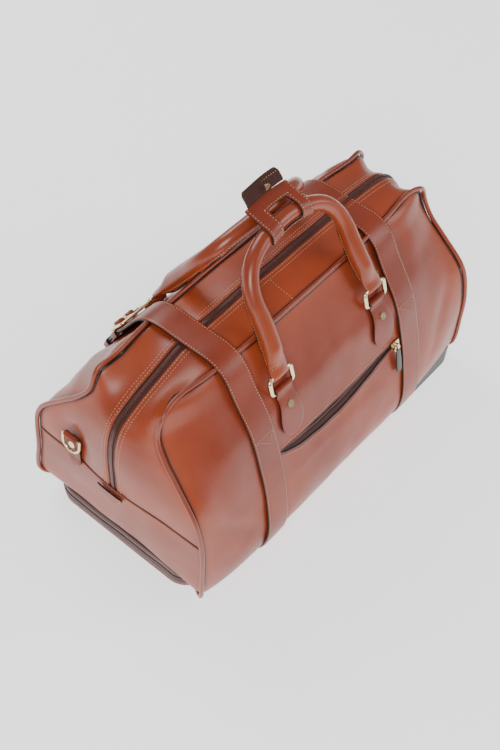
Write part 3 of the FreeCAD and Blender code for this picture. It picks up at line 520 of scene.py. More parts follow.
def gusset(t, v, lift=0.0):
    """The strip over the ends and the top: t runs along it, v across it from front piping to back piping."""
    edge, ridge = rim(t, v), through(RIDGE_LINE, t)
    ahead = through(RIDGE_LINE, min(t + 0.05, LAST)) - through(RIDGE_LINE, max(t - 0.05, 0))
    out = Vector((-ahead.z, 0, ahead.x)).normalized()
    a = min(abs(v), 1.0)
    point = Vector((ridge.x + (edge.x - ridge.x) * a * a, edge.y * v, ridge.z + (edge.z - ridge.z) * a ** 1.8))
    drawn = through(HOLLOW_LINE, t).x * math.sin(math.pi * a) ** 1.3
    rough = 1.6 * wander(point.x, point.y, point.z, 46, 3.1) * math.sin(math.pi * min(a, 1.0)) ** 0.5
    groove = 2.0 * math.exp(-((1 - a) * edge.y / 3.6) ** 2)
    if point.x * v < 0 and abs(point.x) > 200:
        drawn += 7 * math.exp(-((abs(point.y) - 66) / 24) ** 2 - ((point.z - 158) / 30) ** 2)
    seam = 1.1 * math.exp(-(min(abs(t - SEAM), abs(t - (LAST - SEAM))) / 0.045) ** 2)
    return point + out * (lift - drawn + rough - groove - seam)


def panel(side, across, rise, lift=0.0):
    """A large panel, side -1 in front: across runs from left piping to right, rise from base to top piping."""
    edge = rim(rise, side)
    middle = through(MIDDLE_LINE, rise)
    a = min(abs(across), 1.0)
    full = 1 - a ** (8 - 4 * smooth_step(2, 4.5, rise) if across < 0 else 4)
    x = -edge.x * across
    y = edge.y + (middle.x - edge.y) * full
    z = edge.z + (middle.y - edge.z) * full
    calm = full * math.sin(math.pi * min(rise / TOP_ROW, 1.0)) ** 0.5
    y += 2.4 * wander(x, side * 60, z, 85, 7.7) * calm + 0.9 * wander(x, side * 60, z, 30, 1.3) * calm
    puff = (8 if side > 0 else 4) * smooth_step(158, 195, abs(x)) * (1 - a ** 9)
    if x > 0:
        puff *= 1.6 * smooth_step(5, 7, rise)
    puff *= math.sin(math.pi * min(max((rise - 3) / 6, 0), 1))
    y += 0.8 * puff
    z += 0.6 * puff
    fold = (x + 195 + 0.75 * (z - 95)) / 13
    y -= 3.4 * math.exp(-fold * fold) * math.exp(-((z - 105) / 46) ** 2) * (1 if side < 0 else 0.6)
    fold = (x + 212 + 0.35 * (z - 150)) / 10
    y -= 2.2 * math.exp(-fold * fold) * math.exp(-((z - 165) / 38) ** 2)
    fold = (x - 205 - 0.5 * (z - 120)) / 14
    y -= 2.6 * math.exp(-fold * fold) * math.exp(-((z - 130) / 50) ** 2)
    groove = 2.1 * math.exp(-((1 - a) * -edge.x / 3.6) ** 2) + 1.9 * math.exp(-((TOP_ROW - rise) / 0.13) ** 2)
    return Vector((x, side * (y - groove + lift), z))


def rise_at(side, x, z):
    low, high = 0.4, TOP_ROW
    for _ in range(30):
        mid = (low + high) / 2
        half = -through(EDGE_LINE, mid).x
        if panel(side, x / half, mid).z < z:
            low = mid
        else:
            high = mid
    return (low + high) / 2


def panel_at(side, x, z, lift=0.0):
    """Point and outward direction of a large panel at a given x and z."""
    rise = rise_at(side, x, z)

    def at(dx, dr):
        half = -through(EDGE_LINE, rise + dr).x
        return panel(side, (x + dx) / half, rise + dr)

    flat = at(3, 0) - at(-3, 0)
    tall = at(0, 0.08) - at(0, -0.08)
    normal = flat.cross(tall).normalized()
    if normal.y * side < 0:
        normal.negate()
    return at(0, 0) + normal * lift, normal


def gusset_at(t, v, lift=0.0):
    along = gusset(min(t + 0.06, LAST), v) - gusset(max(t - 0.06, 0), v)
    over = gusset(t, v + 0.03) - gusset(t, v - 0.03)
    normal = along.cross(over).normalized()
    if normal.dot(gusset(t, v) - Vector((0, 0, 120))) < 0:
        normal.negate()
    return gusset(t, v) + normal * lift, normal


def end_at(side, y, z, lift=0.0):
    """Point and outward direction of an end, side -1 on the left."""
    low, high = 0.6, 7.5
    for _ in range(30):
        mid = (low + high) / 2
        if gusset(mid, y / through(EDGE_LINE, mid).y).z < z:
            low = mid
        else:
            high = mid
    t = low if side < 0 else LAST - low
    return gusset_at(t, y / through(EDGE_LINE, low).y, lift)


def steps(a, b, count):
    return [a + (b - a) * i / count for i in range(count + 1)]


def tones(distances, length=15.0, strength=0.75):
    return [strength * math.exp(-(d / length) ** 1.3) for d in distances]


def shadows(distances, width=4.0):
    return [0.97 * math.exp(-(d / width) ** 2) for d in distances]


# pocket mouth in the front panel
MOUTH_Z = 154.0
MOUTH_HALF = 118.0
GAPE = 24.0


def gape(x):
    return max(0.0, 1 - (x / MOUTH_HALF) ** 2) ** 0.75 * (1 - 0.25 * x / MOUTH_HALF)


def lower_lip(x, point, below):
    fall = math.exp(-(below / 38) ** 2) * gape(x)
    return point + Vector((0, -5.0 * fall, -GAPE * fall))


def upper_lip(x, point, above):
    fall = math.exp(-(above / 26) ** 2) * gape(x)
    return point + Vector((0, -2.0 * fall, 2.0 * fall))


def make_front_panel():
    middle_rise = rise_at(-1, 0, MOUTH_Z)
    columns = steps(-1, 1, 150)
    rows, edge_gap = [], []
    split = None
    for part, (a, b, count) in enumerate(((0, middle_rise, 56), (middle_rise, TOP_ROW, 62))):
        for rise in steps(a, b, count):
            row = []
            half = -through(EDGE_LINE, rise).x
            for across in columns:
                point = panel(-1, across, rise)
                slit_z = panel(-1, across, middle_rise).z
                if part == 0:
                    point = lower_lip(point.x, point, slit_z - point.z)
                else:
                    point = upper_lip(point.x, point, point.z - slit_z)
                row.append(point)
                top_gap = (TOP_ROW - rise) * 14
                edge_gap.append(min((1 - abs(across)) * half, top_gap))
            rows.append(row)
        if part == 0:
            split = len(rows) - 1
    made = sheet_of("front_panel_skin", rows, [HIDE, EDGE_PAINT_AND_SHADE], skip=lambda i, j: i == split,
                    values={"burnish": tones(edge_gap), "shadow": shadows(edge_gap)})
    weld(made)
    face_outwards(made, (0, 0, 130))
    thicken(made, 2.4)
    finish(made, "bag", "leather", "front_panel")
    return middle_rise


def make_back_panel():
    rows, edge_gap = [], []
    for rise in steps(0, TOP_ROW, 90):
        half = -through(EDGE_LINE, rise).x
        rows.append([panel(1, across, rise) for across in steps(-1, 1, 130)])
        edge_gap += [min((1 - abs(across)) * half, (TOP_ROW - rise) * 14) for across in steps(-1, 1, 130)]
    made = sheet_of("back_panel_skin", rows, [HIDE, EDGE_PAINT_AND_SHADE],
                    values={"burnish": tones(edge_gap), "shadow": shadows(edge_gap)})
    face_outwards(made, (0, 0, 130))
    finish(thicken(made, 2.4), "bag", "leather", "back_panel")


ZIP_HALF = 5.6


def make_gusset():
    for name, side in (("front", -1), ("back", 1)):
        rows, edge_gap = [], []
        for t in steps(SEAM, LAST - SEAM, 260):
            half = through(EDGE_LINE, t).y
            inner = ZIP_HALF / half
            row = []
            for k in steps(0, 1, 26):
                v = inner + (1 - inner) * k
                point = gusset(t, side * v)
                if k == 0:
                    point = gusset(t, side * v, -0.8)
                row.append(point)
                seam = min(abs(t - SEAM), abs(t - (LAST - SEAM))) * 40
                edge_gap.append(min((1 - v) * half, seam))
            rows.append(row)
        made = sheet_of(f"{name}_gusset_skin", rows, [HIDE, EDGE_PAINT_AND_SHADE],
                        values={"burnish": tones(edge_gap, 22), "shadow": shadows(edge_gap)})
        face_outwards(made, (0, 0, 120))
        finish(thicken(made, 2.4, rim=0), "bag", "leather", f"{name}_gusset")
        for inset in (3.0, 7.2):
            stitch("bag", [gusset_at(t, side * (ZIP_HALF + inset) / through(EDGE_LINE, t).y, 0.25)
                           for t in steps(SEAM + 0.04, LAST - SEAM - 0.04, 300)])
    for name, side in (("left", -1), ("right", 1)):
        rows, edge_gap = [], []
        for t in steps(0, SEAM, 44):
            station = t if side < 0 else LAST - t
            half = through(EDGE_LINE, t).y
            rows.append([gusset(station, v) for v in steps(-1, 1, 70)])
            edge_gap += [min((1 - abs(v)) * half, (SEAM - t) * 40) for v in steps(-1, 1, 70)]
        made = sheet_of(f"{name}_end_skin", rows, [HIDE, EDGE_PAINT_AND_SHADE],
                        values={"burnish": tones(edge_gap, 12, 0.5), "shadow": shadows(edge_gap, 1.6)})
        face_outwards(made, (0, 0, 120))
        finish(thicken(made, 2.4), "bag", "leather", f"{name}_end_panel")
        for a, b in ((-0.97, -0.17), (0.17, 0.97)):
            station = SEAM - 0.085 if side < 0 else LAST - SEAM + 0.085
            stitch("bag", [gusset_at(station, v, 0.2) for v in steps(a, b, 40)])
    # the short joining seam across the front half of the gusset
    t = 11.78
    stitch("bag", [gusset_at(t, -v, 0.2) for v in steps(0.28, 0.96, 20)])


def make_floor_and_lining():
    rows = [[Vector((x, y, 31 - 1.0 * math.cos(x / 170) * math.cos(y / 80))) for y in steps(-118, 118, 30)]
            for x in steps(-247, 247, 50)]
    made = sheet_of("bottom_skin", rows, [HIDE, EDGE_PAINT_AND_SHADE])
    face_outwards(made, (0, 0, 120))
    finish(thicken(made, 2.4), "bag", "leather", "bottom_panel")
    parts = []
    for side in (-1, 1):
        rows = [[panel(side, across, rise, -6.5) for across in steps(-0.975, 0.975, 40)]
                for rise in steps(1.4, TOP_ROW - 0.25, 30)]
        part = sheet_of(f"lining_{side}", rows, [LINING])
        if side < 0:
            for vertex in part.data.vertices:
                vertex.co.y += 13 * MM * math.exp(-((vertex.co.z / MM - 112) / 60) ** 4)
        parts.append(face_outwards(part, (0, 0, 120)))
    rows = [[gusset(t, v, -6.0 - 7.0 * smooth_step(LAST / 2, 18, t)) for v in steps(-0.9, 0.9, 20)] for t in steps(1.6, LAST - 1.6, 90)]
    parts.append(face_outwards(sheet_of("lining_top", rows, [LINING]), (0, 0, 120)))
    for part in parts:
        thicken(part, 0.8, rim=0)
    finish(join("lining_cloth", parts), "bag", "lining", "lining")


def make_piping():
    for name, side in (("front", -1), ("back", 1)):
        points = []
        for t in steps(0.05, LAST - 0.05, 420):
            edge = rim(t, side)
            inward = Vector((0, 0, 120))
            point = Vector((edge.x, side * edge.y, edge.z))
            points.append(point + (point - inward).normalized() * 1.7)
        made = tube(f"{name}_piping_cord", points, 2.9, PIPE_HIDE, 12)
        finish(made, "bag", "piping", f"{name}_piping")
        # painted shade: thin dark cords of edge paint along both sides of the piping stand in for the shadow in the
        # seam grooves
        for label in ("panel", "gusset"):
            points = []
            for t in steps(0.3, LAST - 0.3, 420):
                edge = rim(t, side)
                rise = min(t, LAST - t, TOP_ROW - 0.3)
                if label == "gusset":
                    point, normal = gusset_at(t, side * (1 - 3.7 / edge.y))
                else:
                    half = abs(through(EDGE_LINE, rise).x)
                    inside = 1 - 3.7 / half
                    point = panel(side, max(-inside, min(inside, edge.x / half)), rise)
                points.append(point)
            finish(tube(f"{name}_{label}_seam", points, 0.55, EDGE_PAINT_AND_SHADE, 6), "bag", "leather")


def make_main_zip():
    rows = []
    for t in steps(SEAM - 0.1, LAST - SEAM + 0.1, 240):
        half = through(EDGE_LINE, t).y
        rows.append([gusset(t, y / half, -2.9 if abs(y) > ZIP_HALF else -2.2) for y in steps(-13, 13, 12)])
    made = sheet_of("main_zip_cloth", rows, [TAPE])
    face_outwards(made, (0, 0, 120))
    finish(thicken(made, 0.8, rim=0), "bag", "zip_tape", "main_zip_tape")
    lines = []
    for y in (-1.15, 1.15):
        lines.append([gusset_at(t, y / through(EDGE_LINE, t).y, -1.3)
                      for t in steps(SEAM + 0.02, LAST - SEAM - 0.02, 260)])
    lines[1] = lines[1][1:]
    made = along_lines("main_zip_chain", lines, TEETH, 2.0, 1.25, 2.6, 1.9, square=True)
    finish(made, "bag", "zip_teeth", "main_zip_teeth")


def make_pocket(middle_rise):
    half = MOUTH_HALF
    xs = steps(-half + 0.5, half - 0.5, 70)
    rows = []

    def skin(x, z):
        return panel_at(-1, x, z)

    for x in xs:
        open_low = MOUTH_Z - GAPE * gape(x)
        close = 1 - abs(x / half) ** 6
        row = []
        path = [(MOUTH_Z + 3, 3.2), (166, 5), (167, 11), (158, 14), (130, 14.5), (95, 14.5), (65, 13), (54, 9),
                (58, 6), (90, 9), (open_low - 4, 12)]
        for z, deep in path:
            point, normal = skin(x, z)
            row.append(point - normal * (3.0 + (deep - 3.0) * close))
        rows.append(row)
    made = sheet_of("pocket_pouch_cloth", rows, [LINING])
    finish(thicken(made, 0.7, rim=0, offset=0.0), "bag", "lining", "pocket_pouch")
    upper_rows, lower_rows, upper_edge, lower_edge = [], [], [], []
    upper_stitch, lower_stitch = [], []
    for x in steps(-half + 2, half - 2, 110):
        point, normal = skin(x, MOUTH_Z)
        high, low = upper_lip(x, point, 0), lower_lip(x, point, 0)
        spread = gape(x)
        upper_rows.append([high + Vector((0, 1.4, 3)), high + Vector((0, 2.0, 0)),
                           high + Vector((0, 2.2 + 0.8 * spread, -4.5 * spread)),
                           high + Vector((0, 2.6 + 2.2 * spread, -8.5 * spread))])
        lower_rows.append([low + Vector((0, 1.6, -4)), low + Vector((0, 2.0, 0)),
                           low + Vector((0, 3.0 + 1.6 * spread, 2.6 * spread)),
                           low + Vector((0, 4.0 + 4.6 * spread, 4.6 * spread))])
        upper_edge.append((upper_rows[-1][3] + Vector((0, -0.6, 0)), Vector((0, -1, 0.2))))
        lower_edge.append((lower_rows[-1][3] + Vector((0, -0.2, 0.6)), Vector((0, -0.6, 0.8))))
        above, lean = skin(x, MOUTH_Z + 4.2)
        upper_stitch.append((upper_lip(x, above, 4.2) + lean * 0.3, lean))
        under, lean = skin(x, MOUTH_Z - 4.0)
        lower_stitch.append((lower_lip(x, under, 4.0) + lean * 0.3, lean))
    tapes = []
    for label, rows in (("upper", upper_rows), ("lower", lower_rows)):
        tape = sheet_of(f"{label}_tape", rows, [TAPE])
        tapes.append(thicken(face_outwards(tape, (0, 0, 100)), 0.8, rim=0))
    finish(join("pocket_zip_cloth", tapes), "bag", "zip_tape", "pocket_zip_tapes")
    made = along_lines("pocket_zip_chain", [upper_edge, lower_edge], TEETH, 2.0, 1.2, 1.8, 2.2, square=True)
    finish(made, "bag", "zip_teeth")
    stitch("bag", upper_stitch)
    stitch("bag", lower_stitch)
    # painted edges of the two lips
    for label, shift in (("upper", 1), ("lower", -1)):
        points = []
        for x in steps(-half + 1, half - 1, 120):
            point, normal = skin(x, MOUTH_Z)
            lip = upper_lip(x, point, 0) if shift > 0 else lower_lip(x, point, 0)
            points.append(lip + normal * -0.9 + Vector((0, 0, -0.1 * shift)))
        finish(tube(f"mouth_{label}_edge", points, 1.25, EDGE_PAINT_AND_SHADE, 8), "bag", "leather")


# ------------------------------------------------------------------ straps

STRAP_HALF = 18.0
STRAP_X = 137.0


def convex_over(points):
    """The part of a closed outline's hull that a taut strap follows, from front bottom over to back bottom."""
    ordered = sorted(set((round(y, 3), round(z, 3)) for y, z in points))
    chain = []
    for p in ordered:
        while len(chain) > 1:
            (ay, az), (by, bz) = chain[-2], chain[-1]
            if (by - ay) * (p[1] - az) - (bz - az) * (p[0] - ay) >= 0:
                chain.pop()
            else:
                break
        chain.append(p)
    return chain


def strap_path(x):
    """Where a strap lies at x: even steps of point and outward direction in the plane across the bag."""
    outline = []
    low_front, low_back = [], []
    for rise in steps(0.7, TOP_ROW, 90):
        half = -through(EDGE_LINE, rise).x
        for side, bottom in ((-1, low_front), (1, low_back)):
            point = panel(side, x / half, rise)
            outline.append((point.y, point.z))
            if point.z < 75:
                bottom.append((point.y, point.z))
    t = 10 + (150 - abs(x)) / 75
    outline += [(p.y, p.z) for p in (gusset(t, v) for v in steps(-1, 1, 30))]
    edge = through(EDGE_LINE, t)
    outline += [(s * (edge.y + 2.3), edge.z + 2.2) for s in (-1, 1)]
    widest = min(outline)[1]
    chain = [p for p in convex_over(outline)]
    front = [p for p in sorted(low_front, key=lambda p: p[1]) if p[1] < widest]
    back = [p for p in sorted(low_back, key=lambda p: -p[1]) if p[1] < chain[-1][1]]
    whole = [Vector(p) for p in front + chain + back]
    spaced = [whole[0]]
    for a, b in zip(whole, whole[1:]):
        count = max(1, int((b - a).length / 2.5))
        spaced += [a + (b - a) * k / count for k in range(1, count + 1)]
    def eased(values, times):
        for _ in range(times):
            values = [values[0]] + [(a + 2 * b + c) / 4 for a, b, c in zip(values, values[1:], values[2:])] + [values[-1]]
        return values

    tight = eased(spaced, 10)
    spaced = eased(spaced, 90)
    outs = [(lambda d: Vector((-d.y, d.x)).normalized())(b - a) for a, b in zip(spaced, spaced[1:] + spaced[-1:])]
    outs[-1] = outs[-2]
    cut = [max(0.0, (a - b).dot(out)) for a, b, out in zip(tight, spaced, outs)]
    reach = 5
    cut = eased([max(cut[max(0, i - reach):i + reach + 1]) for i in range(len(cut))], 30)
    spaced = [point + out * deep for point, out, deep in zip(spaced, outs, cut)]
    path = []
    for i, point in enumerate(spaced):
        ahead = spaced[min(i + 2, len(spaced) - 1)] - spaced[max(i - 2, 0)]
        path.append((point, Vector((-ahead.y, ahead.x)).normalized()))
    return path


def sway(point):
    """How far a strap's lower front has drifted sideways; point is its y and z."""
    return -10 * smooth_step(150, 40, point.y) if point.x < 0 else 0.0


def ribbon(name, path, x, lift_at, half_at, materials, thick, columns=8, crown=0.5):
    """A flat strap along a path; lift_at and half_at read the share of the way along it."""
    rows = []
    for i, (point, out) in enumerate(path):
        share = i / (len(path) - 1)
        half, lift = half_at(share), lift_at(share)
        row = []
        for w in steps(-1, 1, columns):
            raised = lift + crown * (1 - w * w)
            row.append(Vector((x + sway(point) + w * half, point.x + out.x * raised, point.y + out.y * raised)))
        rows.append(row)
    made = sheet_of(name, rows, materials)
    face_outwards(made, (x, 0, 150))
    return thicken(made, thick, soften=0.45)


def smooth_step(a, b, value):
    share = min(max((value - a) / (b - a), 0), 1)
    return share * share * (3 - 2 * share)


def edge_stitches(body, path, x, lift_at, half, first=0.0, last=1.0):
    for w in (-1, 1):
        line = []
        for i, (point, out) in enumerate(path):
            share = i / (len(path) - 1)
            if first <= share <= last:
                lift = lift_at(share) + 0.25
                line.append((Vector((x + sway(point) + w * half, point.x + out.x * lift, point.y + out.y * lift)),
                             Vector((0, out.x, out.y))))
        stitch(body, line)


def make_straps():
    unders, keepers, loops, hole_plugs_paint_and_shade = [], [], [], []
    for name, x in (("left", -STRAP_X), ("right", STRAP_X)):
        path = strap_path(x)
        back_end = next(i for i, (p, _) in enumerate(path) if p.x > 60 and p.y < 177)
        upper = path[:back_end + 1]
        crest = next(i for i, (p, _) in enumerate(path) if p.x > 40 and p.y < 290) / back_end

        def lift_at(share, crest=crest):
            return 3.4 + 3.2 * smooth_step(crest, min(crest + 0.12, 0.97), share)

        def half_at(share):
            tip = max(0.0, (share - 0.965) / 0.035)
            return STRAP_HALF * math.sqrt(max(0.12, 1 - tip ** 2.4))

        strap = ribbon(f"{name}_strap_hide", upper, x, lift_at, half_at, [STRAP_HIDE, EDGE_PAINT_AND_SHADE], 3.0)
        finish(strap, "bag", "leather", f"{name}_strap")
        edge_stitches("bag", upper, x, lift_at, STRAP_HALF - 2.3, 0.0, 0.955)
        low_start = next(i for i, (p, _) in enumerate(path) if p.x > 60 and p.y < 232)
        under = path[low_start:]
        unders.append(ribbon(f"{name}_under", under, x, lambda s: 2.8, lambda s: STRAP_HALF, [STRAP_HIDE, EDGE_PAINT_AND_SHADE],
                             2.4, crown=0.2))
        edge_stitches("bag", under, x, lambda s: 3.05, STRAP_HALF - 2.3, 0.33, 1.0)
        cross = []
        corners = [(-15.5, 198), (15.5, 198), (5, 183), (-15.5, 198)]
        for w, z in [(a[0] + (b[0] - a[0]) * k / 6, a[1] + (b[1] - a[1]) * k / 6)
                     for a, b in zip(corners, corners[1:]) for k in range(7)]:
            spot = min(path[:len(path) // 2], key=lambda q: abs(q[0].y - z) + (0 if q[0].x < 0 else 999))
            lift = 3.4 + 0.5 * (1 - (w / STRAP_HALF) ** 2) + 0.25
            cross.append((Vector((x + w, spot[0].x + spot[1].x * lift, spot[0].y + spot[1].y * lift)),
                          Vector((0, *spot[1]))))
        stitch("bag", cross)
        for z in (192, 217):
            spot = min((q for q in path if q[0].x > 60), key=lambda q: abs(q[0].y - z))
            out = Vector((0, *spot[1]))
            up = Vector((0, -spot[1].y, spot[1].x)) * -1
            rows = []
            for k in steps(-6, 6, 4):
                rows.append([Vector((x, *spot[0])) + Vector((w, 0, 0)) + out * lift + up * k
                             for w, lift in ((-20.6, 0.6), (-20.8, 4), (-20, 7.4), (-17.5, 8.9), (0, 9.4),
                                             (17.5, 8.9), (20, 7.4), (20.8, 4), (20.6, 0.6))])
            keeper = sheet_of("keeper", rows, [STRAP_HIDE, EDGE_PAINT_AND_SHADE])
            keeper = thicken(face_outwards(keeper, (x, 0, 150)), 1.8, soften=0.6)
            (keepers if z < 200 else loops).append(keeper)
        heel = pivot(f"{name}_buckle_swing")
        for a, b in ((-14, -3.4), (3.4, 14)):
            stations = [(Vector((x + w, heel.y, heel.z)), Vector((0, 1, 0)), Vector((0, 0, 1)), r, r, None)
                        for w, r in ((a, 2.9), (a, 4.1), (a + 0.5, 4.5), (b - 0.5, 4.5), (b, 4.1), (b, 2.9))]
            loops.append(sweep("roll", stations, [STRAP_HIDE], 20))
        # dark plugs for the strap holes: the painted edge of each hole, and painted shade standing in for its depth
        for z in (182, 196.5, 209):
            spot = min((q for q in path if q[0].x > 60), key=lambda q: abs(q[0].y - z))
            out = Vector((0, *spot[1]))
            centre = Vector((x, *spot[0])) + out * 7.15
            up = Vector((0, -spot[1].y, spot[1].x))
            stations = [(centre + out * h, Vector((1, 0, 0)), up, 1.5 * r, 3.0 * r, None)
                        for h, r in ((-0.6, 1), (0.12, 1), (0.18, 0.8))]
            hole_plugs_paint_and_shade.append(sweep("hole", stations, [EDGE_PAINT_AND_SHADE], 16))
    finish(join("strap_base_hide", unders), "bag", "leather", "strap_bases")
    finish(join("strap_keeper_loops", keepers), "bag", "leather", "strap_keepers")
    finish(join("buckle_fold_hide", loops), "bag", "leather", "buckle_loops")
    finish(join("strap_hole_paint_and_shade", hole_plugs_paint_and_shade), "bag", "leather")


# ------------------------------------------------------------------ handles, tabs and wrap

HANDLE_X = 89.0


def tongue(name, surface, outline, rows_up, bar, lean, thick, body, plump=1.1, materials=None):
    """A riveted tab: a rounded patch on a surface whose top folds over a bar. outline gives half width by
    height; surface gives point and direction for an across, up pair; bar is the centre that it folds over."""
    rows = []
    for up in rows_up:
        half = outline(up)
        row = []
        for w in steps(-1, 1, 14):
            point, normal = surface(w * half, up)
            row.append(point + normal * (thick + 0.4 - plump * abs(w) ** 5))
        rows.append(row)
    top_half = outline(rows_up[-1])
    radius, across, out, up_axis = lean
    for angle in steps(0.15, math.pi * 0.98, 12):
        spoke = out * math.cos(angle) + up_axis * math.sin(angle)
        rows.append([bar + across * (w * min(top_half, 13.6)) + spoke * radius for w in steps(-1, 1, 14)])
    made = sheet_of(name, rows, materials or [STRAP_HIDE, EDGE_PAINT_AND_SHADE])
    return made


def make_handle_tabs():
    for name, side in (("front", -1), ("back", 1)):
        tabs = []
        bar = pivot(f"{name}_ring_hinge")
        for x in (-HANDLE_X, HANDLE_X):
            base = 166.0

            def outline(up):
                if up < 20:
                    return max(1.0, 18.2 * math.sqrt(max(0.0, 1 - ((20 - up) / 20) ** 2)))
                return 18.2 - 4.6 * smooth_step(26, 54, up)

            def surface(w, up, x=x):
                return panel_at(side, x + w, base + up)

            slope = math.radians(36.1)
            out = Vector((0, side * math.cos(slope), math.sin(slope)))
            up_axis = Vector((0, -side * math.sin(slope), math.cos(slope)))
            centre = Vector((x, bar.y, bar.z))
            heights = [20 * (1 - math.cos(a)) for a in steps(0.05, math.pi / 2, 9)] + steps(24, 56, 8)
            tab = tongue("tab", surface, outline, heights, centre, (4.9, Vector((1, 0, 0)), out, up_axis), 4.6, "bag", 0.6)
            face_outwards(tab, (x, 0, 190))
            tabs.append(thicken(tab, 3.2, soften=0.4))
            line = []
            for w, ups in ((-1, heights[::-1]), (1, heights)):
                for up in ups:
                    half = max(outline(up) - 2.7, 0.0)
                    if up < 3.0 or up > 52:
                        continue
                    point, normal = surface(w * half, up)
                    line.append((point + normal * 4.2, normal))
                if w < 0:
                    point, normal = surface(0, 3.0)
                    line.append((point + normal * 4.2, normal))
            stitch("bag", line)
            ends = [surface(w, 51) for w in (-11, 11)]
            stitch("bag", [(p + n * 4.2, n) for p, n in ends])
        finish(join(f"{name}_tab_hide", tabs), "bag", "leather", f"{name}_handle_tabs")


def metal_frame(name, centre, up, wide, high, side_bar, bar, corner):
    """A rounded rectangular ring about a centre, lying in X and up; wide and high are to the bars' middles."""
    across, normal = Vector((1, 0, 0)), Vector((1, 0, 0)).cross(up)
    path = []
    for turn in range(4):
        cx = (wide / 2 - corner) * (1 if turn in (0, 3) else -1)
        cy = (high / 2 - corner) * (1 if turn in (0, 1) else -1)
        for a in steps(turn * 90, turn * 90 + 90, 6):
            a = math.radians(a)
            path.append((cx + corner * math.cos(a), cy + corner * math.sin(a), a))
    stations = []
    for px, py, a in path + path[:1]:
        share = abs(math.cos(a)) ** 2
        radius = bar + (side_bar - bar) * share
        out = across * math.cos(a) + up * math.sin(a)
        stations.append((centre + across * px + up * py, out, normal, radius, radius * 0.92, None))
    made = sweep(name, stations, [BRASS], 14, caps=False)
    weld(made)
    edit = bmesh.new()
    edit.from_mesh(made.data)
    bmesh.ops.recalc_face_normals(edit, faces=edit.faces)
    edit.to_mesh(made.data)
    edit.free()
    return made


def make_metal_frames():
    for name in ("front", "back"):
        low, high = pivot(f"{name}_ring_hinge"), pivot(f"{name}_handle_swing")
        up = (high - low).normalized()
        rings = [metal_frame("ring", (low + high) / 2 + Vector((x, 0, 0)), up, 36.8, (high - low).length, 3.1, 2.2, 5.0)
                 for x in (-HANDLE_X, HANDLE_X)]
        finish(join(f"{name}_ring_metal", rings), f"{name}_rings", "brass", f"{name}_rings")
    lean = math.radians(36.1)
    for name in ("left", "right"):
        up = Vector((0, -math.sin(lean), math.cos(lean)))
        made = metal_frame(f"{name}_buckle_metal", pivot(f"{name}_buckle_swing") + up * 16, up, 46, 32, 2.2, 1.95, 4.5)
        finish(made, f"{name}_buckle", "brass", f"{name}_buckle_frame")


def handle_stations(rise=147.0, bow=62.0):
    """Centre line of a handle in its own plane, with the direction it runs in, from one ring to the other."""
    shift = HANDLE_X - bow
    reach = shift / math.cos(math.radians(65))
    crown = bow + reach
    leg = rise - crown + reach * math.sin(math.radians(65))
    line = [(-HANDLE_X, y, 90.0) for y in steps(0, leg, 26)]
    line += [(-shift + bow * math.cos(math.radians(a)), leg + bow * math.sin(math.radians(a)), a - 90)
             for a in steps(176, 115, 20)]
    line += [(crown * math.cos(math.radians(a)), rise - crown + crown * math.sin(math.radians(a)), a - 90)
             for a in steps(112, 90, 10)]
    line = [(x + 7 * math.sin(math.pi * y / rise) * (x / HANDLE_X) ** 2, y, heading) for x, y, heading in line]
    return line + [(-x, y, -heading) for x, y, heading in line[-2::-1]]


